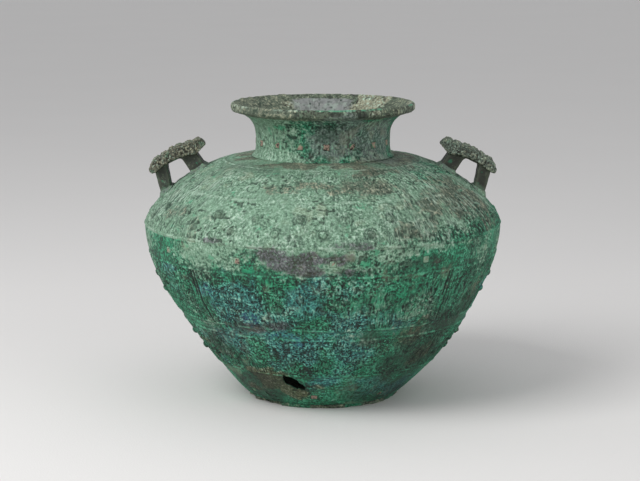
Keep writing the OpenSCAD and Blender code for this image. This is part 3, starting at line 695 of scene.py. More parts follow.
def mark_seam(wall, traits, level, seed):
    """Shows the seam as a broken line: a painted highlight from the left to the middle, and dark on the
    right.
    """
    away = abs(wall.z - level)
    degrees = np.degrees(wall.angle)
    line = (np.exp(-(away / 0.0008) ** 2) * wall.seen)[:, None]
    line = line * step(0.35, 0.6, layered(wall.points, 0.012, 3, seed))
    pale = step(-62, -45, degrees) * (1 - step(8, 18, degrees))
    dark = step(10, 20, degrees) * (1 - step(48, 64, degrees))
    for trait in ("hollow", "ridge"):
        traits[trait] *= np.where(wall.seen, step(0.0012, 0.0045, away), 1)[:, None]
    # The pale part of the seam line is a painted highlight
    traits["rib"] = np.maximum(traits["rib"], line * pale)
    traits["groove"] = np.maximum(traits["groove"], 0.7 * line * dark)


def lean_over(points, lean):
    """Pushes the lower belly sideways, most at a third of its height."""
    z = points[..., 2] / MM
    points[..., 0] += lean * step(4, 40, z) * (1 - step(75, 130, z))
    return points


# The hole in the lower belly

LOSS_ANGLE = math.radians(-17.5)
LOSS_HEIGHT = 0.033
LOSS_REACH = 0.0125
LOSS_HALF_LENGTH = 0.0153
LOSS_HALF_WIDTH = 0.0074
LOSS_SLANT = math.radians(-46)
LOSS_EDGE = 0.0032


def from_loss(x, y):
    """Signed distance from the ragged edge of the hole, for places along and up the wall."""
    c, s = math.cos(LOSS_SLANT), math.sin(LOSS_SLANT)
    a, b = c * x + s * y, c * y - s * x
    turn = np.arctan2(b / LOSS_HALF_WIDTH, a / LOSS_HALF_LENGTH)
    ragged = 1 + 0.10 * np.sin(3 * turn + 0.6) + 0.07 * np.sin(7 * turn + 2) + 0.04 * np.sin(13 * turn)
    return (np.hypot(a / LOSS_HALF_LENGTH, b / LOSS_HALF_WIDTH) - ragged) * LOSS_HALF_WIDTH


def pierce(wall, outer, partner, height):
    """Snaps points to the hole's edge. Returns angles, slides, faces to leave out and faces to add."""
    columns = len(wall.angle)
    level = np.interp(LOSS_HEIGHT, wall.z[outer], wall.along[outer])
    radius = np.interp(LOSS_HEIGHT, wall.z[outer], wall.r[outer])
    x = around(wall.angle, LOSS_ANGLE, TURN)[None, :] * radius + 0 * height[outer]
    y = (wall.along[outer] - level)[:, None] + 0 * x
    away = from_loss(x, y)
    tiny = 0.00002
    gx = (from_loss(x + tiny, y) - away) / tiny
    gy = (from_loss(x, y + tiny) - away) / tiny
    scale = away / np.maximum(gx ** 2 + gy ** 2, 0.05)
    snap = abs(away) < 0.00055
    angle = np.tile(wall.angle, (len(wall.r), 1))
    slide = np.zeros_like(angle)
    angle[outer] -= np.where(snap, scale * gx, 0) / radius
    slide[outer] -= np.where(snap, scale * gy, 0)
    for i, row in enumerate(outer):
        other = partner[row]
        angle[other] = angle[row]
        slide[other] = -slide[row]
        height[other] -= LOSS_EDGE * (1 - step(0.001, 0.012, away[i]))
    open_here = np.where(snap, 0, away) <= 0
    across = np.roll(open_here, -1, 1)
    gone = open_here[:-1] & across[:-1] & open_here[1:] & across[1:]
    dropped = np.zeros((len(wall.r), columns), bool)
    added = []
    for i, j in zip(*np.nonzero(gone)):
        row = outer[i]
        dropped[row, j] = True
        dropped[partner[outer[i + 1]], j] = True
        k = (j + 1) % columns
        corners = ((outer[i], j), (outer[i], k), (outer[i + 1], k), (outer[i + 1], j))
        beside = (gone[i - 1, j], gone[i, k], gone[i + 1, j], gone[i, j - 1])
        for side, (a, b) in enumerate(zip(corners, corners[1:] + corners[:1])):
            if not beside[side]:
                p, q = a[0] * columns + a[1], b[0] * columns + b[1]
                added.append((p, q, partner[b[0]] * columns + b[1], partner[a[0]] * columns + a[1]))
    return angle, slide, dropped, np.array(added)


# The three cast walls

def cast_lower_belly(scene):
    jar, ornament = scene.jar_wall, scene.jar_ornament
    outline = resample(belly_outline(jar), jar.grain)
    lining = inner_line(outline, jar.thickness)
    kept = [
        i for i in range(len(outline))
        if i % 10 == 0 or i == len(outline) - 1 or abs(outline[i, 1] - LOSS_HEIGHT) < LOSS_REACH + 0.0005
    ]
    foot_inner = (jar.foot_radius - FOOT_WIDTH, jar.foot_height)
    bottom = resample([foot_inner, outline[0]], 0.002)[1:-1]
    top = resample([outline[-1], lining[-1]], 0.0012)[1:-1]
    outline = np.vstack([outline[:-1], outline[-1] - (0, CRISP), outline[-1]])
    kept[-1] += 1
    lining = np.vstack([lining, lining[-1]])
    top = np.vstack([outline[-1] - (CRISP, 0), top])
    places = np.vstack([outline, top, lining[kept][::-1], [foot_inner], bottom])
    seen = np.arange(len(places)) < len(outline)
    wall = turned(places, seen, jar.columns)
    height, masks = carve(wall, BELLY_REGISTERS, ornament, 20)
    grooves = add_panel_lines(wall, height, ornament.relief, *PANEL_SPAN)
    add_chaplet_pockets(wall, height, BELT_CHAPLETS, ornament.chaplet)
    add_chaplet_pockets(wall, height, FOOT_CHAPLETS, ornament.chaplet)
    pits, scab = corrode(wall, height, ornament, 0.8, 0.8, 0.8, 30)
    soften_seam(wall, height, jar.seam_height)
    height[wall.z < jar.foot_height + 0.0005] *= 0.3
    first_inner = len(outline) + len(top)
    partner = {i: first_inner + len(kept) - 1 - n for n, i in enumerate(kept)}
    outer = np.array([i for i in range(len(outline)) if abs(outline[i, 1] - LOSS_HEIGHT) < LOSS_REACH])
    angle, slide, dropped, added = pierce(wall, outer, partner, height)
    degrees = np.degrees(wall.angle)
    bloom = np.interp(
        degrees, (-120, -76, -58, -42, -28, -8, 14, 120, 170), (0.8, 0.3, 0.22, 0.5, 1, 1, 0.2, 0.2, 0.8)
    )
    edge = wall.z[:, None] + 0.024 * (layered(wall.points, 0.03, 4, 44) - 0.5)
    mint = 0.26 + 0.52 * step(0.154, 0.178, edge) * bloom - 0.2 * step(0.1, 0.04, wall.z)[:, None]
    mint = mint + 0.3 * step(0.176, 0.184, edge) * step(12, 22, degrees) * (1 - step(44, 56, degrees))
    traits = wall_traits(wall, height, masks, pits, scab, mint, 40)
    traits["groove"] = grooves
    mark_seam(wall, traits, jar.seam_height, 46)
    points = lean_over(raised(wall, height, angle, slide), jar.lean)
    faces = grid_faces(len(places), jar.columns)[~dropped]
    uv = grid_map(wall, 0.002)[~dropped]
    edge_uv = np.broadcast_to(uv[0], (len(added), 4, 2))
    return mesh_piece(
        "belly_wall", points.reshape(-1, 3), np.vstack([faces, added]), np.concatenate([uv, edge_uv]), traits
    )


def cast_shoulder(scene):
    jar, ornament = scene.jar_wall, scene.jar_ornament
    whole = shoulder_outline(jar)
    ring = jar.neck_radius + 0.00465
    seat = jar.crown_height - SEAT_DEPTH
    outline = resample(whole[whole[:, 0] >= ring], jar.grain)
    lining = resample(inner_line(whole, jar.thickness), 0.008)
    ledge = resample([outline[-1], (ring, seat), (jar.crown_radius, seat), lining[-1]], 0.0018)[1:-1]
    bottom = np.vstack([resample([lining[0], outline[0]], 0.0012)[1:-1], outline[0] - (CRISP, 0)])
    outline = np.vstack([outline[0], outline[0] + (0, CRISP), outline[1:]])
    places = np.vstack([outline, ledge, lining[::-1], bottom])
    seen = np.arange(len(places)) < len(outline)
    wall = turned(places, seen, jar.columns)
    height, masks = carve(wall, SHOULDER_REGISTERS, ornament, 60)
    pits, scab = corrode(wall, height, ornament, 1.0, 1.0, 0.9, 70)
    soften_seam(wall, height, jar.seam_height)
    right = step(10, 80, np.degrees(wall.angle)) * (1 - step(110, 170, np.degrees(wall.angle)))
    mint = 0.95 - right * (0.36 + 0.5 * step(0.214, 0.187, wall.z)[:, None])
    masks["field"] = np.maximum(masks["field"], 0.3 * seen[:, None])
    traits = wall_traits(wall, height, masks, pits, scab, mint, 80)
    mark_seam(wall, traits, jar.seam_height, 46)
    crown = step(0.2525, 0.2565, wall.z)[:, None] * seen[:, None]
    crown = crown * step(0.3, 0.6, layered(wall.points, 0.016, 4, 84))
    traits["crust"] = np.maximum(traits["crust"], 0.75 * crown)
    return wall_piece("shoulder_wall", wall, height, traits)


def cast_neck(scene):
    jar, ornament = scene.jar_wall, scene.jar_ornament
    seat = jar.crown_height - SEAT_DEPTH
    bore = jar.neck_radius - jar.thickness
    spigot = jar.neck_radius - 0.0012
    ring = jar.neck_radius + 0.0045
    lip = jar.rim_radius - RIM_ROUND
    under = jar.rim_height - 0.009
    flare = jar.rim_height - 0.036
    outside = np.vstack([
        arc((ring - RING_ROUND, seat + RING_ROUND), RING_ROUND, 0, 50),
        bezier(((ring - 0.0006, seat + 0.0019), (ring - 0.0026, seat + 0.0034),
                (jar.neck_radius, seat + 0.0056), (jar.neck_radius, seat + 0.014))),
        bezier(((jar.neck_radius, flare), (jar.neck_radius, flare + 0.015),
                (lip - 0.015, under - 0.003), (lip, under))),
        arc((lip, under + RIM_ROUND), RIM_ROUND, -80, 0),
        arc((lip, jar.rim_height - RIM_ROUND), RIM_ROUND, 0, 90),
        bezier(((lip, jar.rim_height), (lip - 0.012, jar.rim_height - 0.007),
                (bore, jar.rim_height - 0.018), (bore, jar.rim_height - 0.0306)))[1:],
        [(bore, jar.crown_height - 0.004)],
    ])
    outside = resample(outside, jar.grain)
    foot = [(bore, seat - SPIGOT_DEPTH), (spigot, seat - SPIGOT_DEPTH), (spigot, seat), (ring, seat)]
    foot = resample(foot, 0.0025)[:-1]
    places = np.vstack([outside, foot])
    seen = np.arange(len(places)) < len(outside)
    wall = turned(places, seen, jar.columns // 2)
    height = np.zeros(wall.points.shape[:2], np.float32)
    past_rim = np.cumsum(wall.z >= jar.rim_height - 0.0005) > 0
    outer_wall = wall._replace(seen=~past_rim & seen)
    add_chaplet_pockets(outer_wall, height, NECK_CHAPLETS, ornament.chaplet)
    lip_rows = step(0.300, 0.306, wall.z)[:, None] * seen[:, None]
    pits, scab = corrode(wall, height, ornament, 0.7 + 0.9 * lip_rows, 0.6, 0.5 + 0.9 * lip_rows, 90)
    degrees = np.degrees(wall.angle)
    left = (1 - step(-50, -5, degrees)) * step(-178, -130, degrees)
    low, high = step(0.270, 0.261, wall.z)[:, None], step(0.282, 0.292, wall.z)[:, None]
    mint = 0.34 + 0.42 * left + 0.4 * low * (0.3 + 0.7 * left) + 0.35 * high * left
    plain = np.zeros_like(height)
    # A thin painted highlight along the top edge of the rim
    edge = np.exp(-((wall.z - jar.rim_height + 0.0006) / 0.0008) ** 2) * (wall.r > lip)
    masks = {"field": plain + 0.6, "dome": plain, "rib": plain + edge[:, None]}
    traits = wall_traits(wall, height, masks, pits, scab, mint, 100)
    down = past_rim[:, None] * seen[:, None]
    back = 1 - step(10, 36, abs(np.degrees(around(wall.angle, math.pi, TURN))))
    traits["crust"] = np.maximum(traits["crust"], np.maximum(lip_rows, down))
    traits["smooth"] = down * step(0.3125, 0.309, wall.z)[:, None] * back[None, :]
    traits["pit"] = traits["pit"] * (1 - traits["smooth"])
    return wall_piece("neck_wall", wall, height, traits)


# Pieces recast from their solids

def recast(node, name, voxel, smoothing):
    """A fresh even mesh of a solid, with its edges softened."""
    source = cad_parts[node]
    piece = bpy.data.objects.new(name, source.data.copy())
    bpy.context.scene.collection.objects.link(piece)
    remesh = piece.modifiers.new("even", "REMESH")
    remesh.mode = "VOXEL"
    remesh.voxel_size = voxel
    soften = piece.modifiers.new("soften", "SMOOTH")
    soften.factor = 0.5
    soften.iterations = smoothing
    bpy.context.view_layer.update()
    shaped = piece.evaluated_get(bpy.context.evaluated_depsgraph_get())
    mesh = bpy.data.meshes.new_from_object(shaped)
    piece.modifiers.clear()
    piece.data = mesh
    mesh.name = name
    mesh.shade_smooth()
    return piece


def surface(mesh):
    points = np.empty(len(mesh.vertices) * 3, np.float32)
    mesh.vertices.foreach_get("co", points)
    normals = np.empty_like(points)
    mesh.vertex_normals.foreach_get("vector", normals)
    return points.reshape(-1, 3), normals.reshape(-1, 3)


def levels(mesh, rounds):
    """How far each point stands out of its smoothed surroundings."""
    points, normals = surface(mesh)
    ends = np.empty(len(mesh.edges) * 2, np.int32)
    mesh.edges.foreach_get("vertices", ends)
    a, b = ends.reshape(-1, 2).T
    count = len(points)
    shares = np.bincount(a, minlength=count) + np.bincount(b, minlength=count)
    flat = points.astype(float)
    for _ in range(rounds):
        flat = np.column_stack([
            np.bincount(a, flat[b, k], count) + np.bincount(b, flat[a, k], count) for k in range(3)
        ]) / shares[:, None]
    return ((points - flat) * normals).sum(1)


def weather(piece, swell, grain, grain_size, seed, grow):
    """Swells and roughens a recast piece, and stores which points stand out and which lie deep."""
    points, normals = surface(piece.data)
    broad = layered(points, 0.012, 2, seed) - 0.5
    fine = layered(points, grain_size, 3, seed + 5) - 0.5
    moved = points + normals * (grow + swell * broad + grain * fine)[:, None]
    piece.data.vertices.foreach_set("co", moved.astype(np.float32).ravel())
    piece.data.update()
    level = levels(piece.data, 12) / FULL_RELIEF
    # Raised points take a painted highlight in the finishes
    add_traits(piece.data, {"ridge": np.clip(level, 0, 1), "hollow": np.clip(-level, 0, 1)})


def above_shoulder(scene, points):
    """How high each point stands over the shoulder."""
    outline = shoulder_outline(scene.jar_wall)
    beside = np.hypot(points[:, 0], points[:, 1])
    return points[:, 2] - np.interp(-beside, -outline[:, 0], outline[:, 1])


LEGS_PART = 0.15
GAP_START = (0.1365, 0.1395)
GAP_END = (0.1615, 0.1645)


def handle_traits(scene, mesh, side):
    """How near each point of a handle is to the shoulder, and which side it stands on."""
    points, _ = surface(mesh)
    reach = np.where(abs(points[:, 0]) > LEGS_PART, 0.018, 0.008)
    foot = 1 - step(0.1, 1, above_shoulder(scene, points) / reach)
    return {"foot": foot, "right": np.full(len(points), float(side == "right"))}


def feather(scene, mesh):
    """Draws a fillet in, so that it thins out over the shoulder except between the legs."""
    points, _ = surface(mesh)
    rise = np.clip(above_shoulder(scene, points), 0, None)
    across = abs(points[:, 0])
    between_legs = step(*GAP_START, across) * (1 - step(*GAP_END, across))
    points[:, 2] -= (0.85 - 0.75 * between_legs) * rise * (1 - rise / rise.max())
    mesh.vertices.foreach_set("co", points.ravel())
    mesh.update()


def cast_base():
    piece = recast("base_plate", "base_disc", 0.001, 3)
    points, normals = surface(piece.data)
    r = np.hypot(points[:, 0], points[:, 1])
    edge = step(0.0745, 0.079, r) * (1 - step(0.0038, 0.0042, points[:, 2]))
    angle = np.degrees(np.arctan2(points[:, 0], -points[:, 1]))
    broken = np.clip(layered(points, 0.012, 3, 120) - 0.42, 0, 1) * 0.011
    broken = broken * (0.5 + step(20, -40, angle) * (angle > -100))
    inward = np.column_stack([-points[:, 0] / np.maximum(r, MM), -points[:, 1] / np.maximum(r, MM), 0 * r])
    rough = 0.0007 * (layered(points, 0.006, 3, 123) - 0.5)
    rough *= 1 - 0.8 * step(0.0006, 0.0, points[:, 2])
    moved = points + inward * (edge * broken)[:, None] + normals * rough[:, None]
    moved[:, 2] = np.maximum(moved[:, 2], 0)
    piece.data.vertices.foreach_set("co", moved.astype(np.float32).ravel())
    piece.data.update()
    lime = step(0.3, 0.6, layered(points, 0.02, 3, 127))
    add_traits(piece.data, {
        "crust": 0.4 + 0.6 * lime,
        "hollow": np.clip(-rough / 0.0004, 0, 1),
        "inside": (points[:, 2] > 0.0045).astype(np.float32),
        "sheet": points,
    })
    return piece


# Chaplets

def tablet(place, across, up, out, side, depth, seed):
    """A small square plate with a rough face. Returns points, faces and how near each point is to the rim."""
    count = 11
    s = np.linspace(-1, 1, count)
    a, b = np.meshgrid(s, s)
    bend = 1 - 0.10 * (abs(a) * abs(b)) ** 2
    a, b = a * bend * side / 2, b * bend * side / 2
    base = place + a[..., None] * across + b[..., None] * up
    rim = np.maximum(abs(a), abs(b)) / (side / 2)
    lift = 0.00035 * (noise(base, 0.002, seed) - 0.4) - 0.0004 * step(0.75, 1.0, rim)
    face = base + lift[..., None] * out
    back = base - depth * out
    points = np.vstack([face.reshape(-1, 3), back.reshape(-1, 3)])
    edge = np.concatenate([rim.ravel(), 1 + 0 * rim.ravel()])
    n = count * count
    i, j = np.meshgrid(np.arange(count - 1), np.arange(count - 1), indexing="ij")
    p = (i * count + j).ravel()
    front = np.column_stack([p, p + 1, p + count + 1, p + count])
    hind = front[:, ::-1] + n
    k = np.arange(count - 1)
    edges = np.vstack([
        np.column_stack([k + 1, k]),
        np.column_stack([(k + 1) * count + count - 1, k * count + count - 1]),
        np.column_stack([(count - 1) * count + k, (count - 1) * count + k + 1]),
        np.column_stack([k * count, (k + 1) * count]),
    ])
    sides = np.column_stack([edges[:, 0], edges[:, 1], edges[:, 1] + n, edges[:, 0] + n])
    return points, np.vstack([front, hind, sides]), edge


def joined(tablets):
    """Points, faces and nearness to the rim of several tablets as one mesh."""
    points, faces, edges = zip(*tablets)
    starts = np.cumsum([0] + [len(p) for p in points[:-1]])
    return np.vstack(points), np.vstack([f + n for f, n in zip(faces, starts)]), np.concatenate(edges)


def set_chaplets(scene, ring):
    jar, side = scene.jar_wall, scene.jar_ornament.chaplet * CHAPLET_SHARE
    outline = belly_outline(jar)
    ahead = np.gradient(outline, axis=0)
    if ring is NECK_CHAPLETS:
        r, run, rise = jar.neck_radius, 0.0, 1.0
    else:
        r = np.interp(ring.height, outline[:, 1], outline[:, 0])
        run = np.interp(ring.height, outline[:, 1], ahead[:, 0])
        rise = np.interp(ring.height, outline[:, 1], ahead[:, 1])
    run, rise = run / math.hypot(run, rise), rise / math.hypot(run, rise)
    tablets, covers = [], []
    for k in range(ring.count):
        a = math.radians(ring.first + 360 * k / ring.count)
        away = np.array([math.sin(a), -math.cos(a), 0])
        across = np.array([math.cos(a), math.sin(a), 0])
        up = run * away + np.array([0, 0, rise])
        out = rise * away - np.array([0, 0, run])
        place = r * away + np.array([0, 0, ring.height])
        tablets.append(tablet(place, across, up, out, side, ring.slot_depth, 130 + k))
        covers.append(np.full(len(tablets[-1][0]), float(k not in ring.clean)))
    points, faces, edges = joined(tablets)
    points = lean_over(points, jar.lean)
    traits = {"edge": edges, "mint": ring.mint + 0 * edges, "cover": np.concatenate(covers)}
    return mesh_piece(ring.node.replace("chaplets", "tablets"), points, faces, None, traits)


def set_base_chaplets(scene):
    side = scene.jar_ornament.chaplet * CHAPLET_SHARE
    tablets = []
    down = np.array([0, 0, -1.0])
    for k in range(4):
        a = math.radians(90 * k)
        away = np.array([math.cos(a), math.sin(a), 0])
        across = np.array([-math.sin(a), math.cos(a), 0])
        place = BASE_CHAPLET_CIRCLE * away + np.array([0, 0, BASE_HOLLOW])
        tablets.append(tablet(place, away, -across, down, side, BASE_CHAPLET_DEPTH, 170 + k))
    points, faces, _ = joined(tablets)
    return mesh_piece("base_tablets", points, faces)


# Finishes

NOISE_SPREAD = 2.2


class Value:
    """A shader socket that takes part in Python expressions."""

    def __init__(self, tree, socket):
        self.tree = tree
        self.socket = socket

    def math(self, operation, *values, clamp=False):
        node = self.tree.nodes.new("ShaderNodeMath")
        node.operation = operation
        node.use_clamp = clamp
        for socket, value in zip(node.inputs, values):
            feed(self.tree, socket, value)
        return Value(self.tree, node.outputs[0])

    def __add__(self, other):
        return self.math("ADD", self, other)

    __radd__ = __add__

    def __sub__(self, other):
        return self.math("SUBTRACT", self, other)

    def __rsub__(self, other):
        return self.math("SUBTRACT", other, self)

    def __mul__(self, other):
        return self.math("MULTIPLY", self, other)

    __rmul__ = __mul__

    def held(self):
        """The value held between 0 and 1."""
        return self.math("ADD", self, 0.0, clamp=True)

    def size(self):
        return self.math("ABSOLUTE", self)


def feed(tree, socket, value):
    """Links a value to a socket, or sets it there."""
    if isinstance(value, Value):
        tree.links.new(value.socket, socket)
    elif socket.type == "RGBA" and len(value) == 3:
        socket.default_value = (*value, 1)
    else:
        socket.default_value = value


class Finish:
    """A material written as expressions."""

    def __init__(self, name, patina=None):
        self.patina = patina
        self.material = bpy.data.materials.new(name)
        self.material.use_nodes = True
        self.tree = self.material.node_tree
        self.tree.nodes.clear()
        self.place = self.node("ShaderNodeTexCoord", output="Object")
        self.base = None

    def node(self, kind, settings=None, sockets=None, output=0):
        made = self.tree.nodes.new(kind)
        for setting, value in (settings or {}).items():
            if setting == "stops":
                self.set_stops(made.color_ramp.elements, value)
            else:
                setattr(made, setting, value)
        for key, value in (sockets or {}).items():
            socket = next(s for s in made.inputs if key in (s.identifier, s.name))
            feed(self.tree, socket, value)
        found = [s for n, s in enumerate(made.outputs) if output in (n, s.identifier, s.name)]
        return Value(self.tree, found[0]) if found else made

    def noise(self, size, detail=4, rough=0.55, shift=0.0):
        """Noise with features of a given size in metres, spread out from 0 to 1."""
        place = self.place
        if shift:
            place = self.node("ShaderNodeVectorMath", {"operation": "ADD"}, {
                "Vector": place, "Vector_001": (shift, 0.7 * shift, 1.3 * shift),
            })
        field = self.node("ShaderNodeTexNoise", None, {
            "Vector": place, "Scale": 1 / size, "Detail": detail, "Roughness": rough,
        })
        return ((field - 0.5) * NOISE_SPREAD + 0.5).held()

    def set_stops(self, elements, stops):
        while len(elements) < len(stops):
            elements.new(1.0)
        for element, (position, tint) in zip(elements, stops):
            element.position = position
            element.color = (*tint, 1)

    def trait(self, name):
        return self.node("ShaderNodeAttribute", {"attribute_name": name}, None, "Fac")

    def tints(self, value, names):
        """A ramp through named colours, spread over the middle of the value's range."""
        colours = [tuple(getattr(self.patina, name)) for name in names.split()]
        stops = [(0.28 + 0.44 * n / (len(colours) - 1), c) for n, c in enumerate(colours)]
        return self.node("ShaderNodeValToRGB", {"stops": stops}, {"Fac": value}, "Color")

    def strokes(self, width, stretch, thin, wide):
        """Broken upright lines over the unrolled wall: 1 on a line, 0 between."""
        sheet = self.node("ShaderNodeAttribute", {"attribute_name": "sheet"}, None, "Vector")
        sheet = self.node("ShaderNodeVectorMath", {"operation": "MULTIPLY"}, {
            "Vector": sheet, "Vector_001": (1.0, 1.0, 1 / stretch),
        })
        field = self.node("ShaderNodeTexNoise", None, {
            "Vector": sheet, "Scale": 1 / width, "Detail": 2.0, "Roughness": 0.5,
        })
        return 1 - self.between((field - 0.5).size(), thin, wide)

    def between(self, value, low, high):
        """0 below low, 1 above high, smooth between."""
        return self.node("ShaderNodeMapRange", {"interpolation_type": "SMOOTHSTEP"}, {
            "Value": value, "From Min": low, "From Max": high, "To Min": 0.0, "To Max": 1.0,
        })

    def mix(self, share, a, b):
        return self.node("ShaderNodeMix", {"data_type": "RGBA", "clamp_factor": True}, {
            "Factor_Float": share, "A_Color": a, "B_Color": b,
        }, "Result_Color")

    def bump(self, height, distance):
        return self.node("ShaderNodeBump", None, {
            "Height": height, "Distance": distance, "Strength": 1.0,
        }, "Normal")

    def lay(self, share, tint):
        """Lays a colour over the finish so far."""
        self.base = self.mix(share, self.base, tint)

    def close(self, roughness, normal, metallic=0.0):
        """Ends the finish in one metal and crust surface."""
        shader = self.node("ShaderNodeBsdfPrincipled", None, {
            "Base Color": self.base, "Roughness": roughness, "Normal": normal, "Metallic": metallic,
        })
        self.node("ShaderNodeOutputMaterial", None, {"Surface": shader})
        return self.material


def wall_patina(name, patina):
    f = Finish(name, patina)
    broad, medium, fine = f.noise(0.06, 4), f.noise(0.016, 5, 0.6), f.noise(0.0046, 4, 0.6)
    grain, dust = f.noise(0.0023, 3, 0.65), f.noise(0.0030, 3, 0.65, 4.3)
    hollow, ridge, pit, scab, field = (f.trait(t) for t in ("hollow", "ridge", "pit", "scab", "field"))
    cut = f.strokes(0.0042, 3.2, 0.02, 0.09) * f.between(medium, 0.25, 0.6) * (0.25 + 0.75 * field)
    drawn = f.trait("stroke") * f.between(medium, 0.2, 0.55)
    long_cut = f.strokes(0.0036, 7.0, 0.02, 0.08) * drawn
    long_ridge = f.strokes(0.0047, 8.0, 0.015, 0.06) * drawn
    patch = f.noise(0.028, 4, 0.6, 7.7)
    busy = 0.45 + 0.55 * f.between(f.noise(0.034, 3, 0.5, 1.9), 0.3, 0.6) * (0.4 + 0.6 * field)
    speckle = 0.22 * (medium - 0.5) + 0.30 * (fine - 0.5) + 0.50 * (grain - 0.5)
    mottle = 0.5 + busy * speckle
    coarse = 0.5 + speckle + 0.15 * (medium - 0.5)
    patchy = 0.5 + 1.25 * busy * speckle + 0.22 * (patch - 0.5)
    stir = 0.55 * (fine - 0.5) + 0.35 * (medium - 0.5) + 0.25 * (dust - 0.5)
    bloom = f.tints(mottle, "shade sage mint pale")
    green = f.tints(patchy, "night forest green jade")
    teal = f.tints(patchy, "night abyss teal turquoise")
    deep = f.mix(f.between(f.trait("teal") + stir + 0.5 * (broad - 0.5), 0.1, 0.95), green, teal)
    minted = f.between(f.trait("mint") + 0.8 * stir, 0.35, 0.7)
    f.base = f.mix(minted, deep, bloom)
    # The light tint: painted highlight on ribs and ridges, also the colour of the long raised strokes
    light = f.mix(minted, patina.jade, patina.pale)
    for trait, low, high, share, names in (
        ("azurite", 0.35, 0.75, 0.8, "navy azurite teal turquoise"),
        ("emerald", 0.45, 0.8, 0.75, "forest emerald emerald jade"),
    ):
        grown = f.between(f.trait(trait) + stir, low, high)
        f.lay(share * grown, f.tints(mottle, names))
    stray = f.between(f.noise(0.02, 4, 0.6, 3.7), 0.66, 0.85) * f.between(fine, 0.5, 0.7)
    f.lay(0.6 * stray, patina.emerald)
    bared = f.between(f.trait("bare") + 1.2 * stir, 0.35, 0.75) * (1 - 0.6 * f.between(dust, 0.6, 0.78))
    rubbed = 0.42 + 1.5 * speckle + 0.3 * (medium - 0.5)
    f.lay(0.88 * bared, f.tints(rubbed, "umber bare bare worn"))
    earthy = f.between(f.trait("soil") + stir, 0.35, 0.8)
    f.lay(0.85 * earthy, f.tints(coarse, "umber soil soil lime"))
    for trait, stirred, low, high, share, names in (
        ("crust", 0.8, 0.3, 0.65, 0.9, "umber crust crust lime"),
        ("slate", 0.7, 0.3, 0.75, 0.8, "shade slate lavender mint"),
        ("lime", 0.9, 0.35, 0.75, 0.8, "crust lime lime pale"),
    ):
        grown = f.between(f.trait(trait) + stirred * stir, low, high)
        f.lay(share * grown, f.tints(coarse, names))
    lined = f.mix(0.3 * f.between(f.noise(0.011, 3, 0.5, 6.1), 0.5, 0.8), patina.lavender, patina.pale)
    f.lay(0.9 * f.between(f.trait("smooth") + 0.9 * stir, 0.3, 0.7), lined)
    speck = f.between(dust, 0.68, 0.86) * f.between(f.noise(0.012, 4, 0.6, 9.1), 0.4, 0.65)
    speck = speck * (0.35 + 0.65 * field) * (0.4 + 0.6 * minted)
    f.lay((0.5 * speck + 0.5 * pit).held(), patina.umber)
    f.lay(0.25 * scab, patina.lime)
    f.lay(0.45 * f.trait("dome") * f.between(medium, 0.3, 0.7), patina.umber)
    # Real dark patches and painted shade, laid towards night and umber
    dim = f.between(f.trait("dim") + 0.6 * stir, 0.2, 0.8)
    f.lay(0.68 * dim, f.mix(medium, patina.night, patina.umber))
    f.lay(0.75 * f.trait("inside"), patina.umber)
    sunk = 0.7 * hollow + 0.5 * cut + 0.65 * long_cut + 0.85 * f.trait("groove")
    f.lay(sunk.held(), f.mix(0.45 * minted, patina.night, patina.shade))
    f.lay(0.55 * long_ridge, light)
    # Painted highlight in the light tint on ribs, the seam's pale line and the rim edge
    f.lay(0.6 * f.trait("rib") * f.between(patch + 0.5 * (fine - 0.5), 0.42, 0.75), light)
    # Painted highlight on raised ridges
    f.lay(0.26 * ridge * f.between(fine, 0.4, 0.8), light)
    roughness = 0.72 + 0.2 * (fine - 0.5) - 0.2 * bared + 0.1 * earthy
    relief = 0.5 * fine + 0.4 * grain - 0.35 * cut - 0.3 * long_cut + 0.2 * long_ridge
    return f.close(roughness, f.bump(relief, 0.0007), 0.2 * bared)


def leg_patina(name, patina):
    f = Finish(name, patina)
    medium, fine, grain = f.noise(0.012, 5, 0.6), f.noise(0.004, 4, 0.6), f.noise(0.0014, 3, 0.65)
    mottle = 0.5 * medium + 0.3 * fine + 0.2 * grain
    f.base = f.tints(mottle, "umber leg leg crust")
    spots = f.between(f.noise(0.009, 4, 0.6, 5.3) + 0.3 * (fine - 0.5), 0.68, 0.9)
    f.lay(0.7 * spots, patina.green)
    foot = f.between(f.trait("foot") + 0.8 * (medium - 0.5), 0.35, 0.8)
    f.lay(0.65 * foot, f.tints(mottle, "shade sage sage mint"))
    f.lay(0.4 * f.trait("right") * f.between(medium, 0.1, 0.6), patina.umber)
    # Painted highlight: crust tint on the raised edges of the legs
    f.lay(0.5 * f.trait("ridge"), patina.crust)
    f.lay(0.6 * f.trait("hollow"), patina.umber)
    return f.close(0.5 + 0.3 * fine, f.bump(0.6 * fine + 0.4 * grain, 0.0004), 0.15)


def crest_crust(name, patina):
    f = Finish(name, patina)
    medium, fine, grain = f.noise(0.01, 4, 0.6), f.noise(0.0034, 4, 0.65), f.noise(0.0016, 3, 0.65)
    mottle = 0.2 * medium + 0.4 * fine + 0.4 * grain
    f.base = f.tints(mottle, "umber crest crest lime")
    spots = f.between(f.noise(0.011, 4, 0.6, 2.9) + 0.3 * (fine - 0.5), 0.62, 0.85)
    f.lay(0.5 * spots, patina.sage)
    f.lay(0.4 * f.trait("right"), f.tints(mottle, "night slate slate mint"))
    # Pale flecks are painted highlights on the grain
    highlight_flecks = f.between(f.noise(0.0019, 2, 0.6, 8.3), 0.6, 0.85)
    f.lay(0.55 * highlight_flecks, patina.pale)
    # Painted highlight: lime on the raised grain of the crest
    f.lay(0.3 * f.between(f.trait("ridge") + 0.6 * (grain - 0.5), 0.3, 0.8), patina.lime)
    f.lay(0.85 * f.between(f.trait("hollow") + 0.4 * (grain - 0.5), 0.2, 0.6), patina.umber)
    return f.close(0.85 + 0.2 * (fine - 0.5), f.bump(0.5 * fine + 0.5 * grain, 0.001))


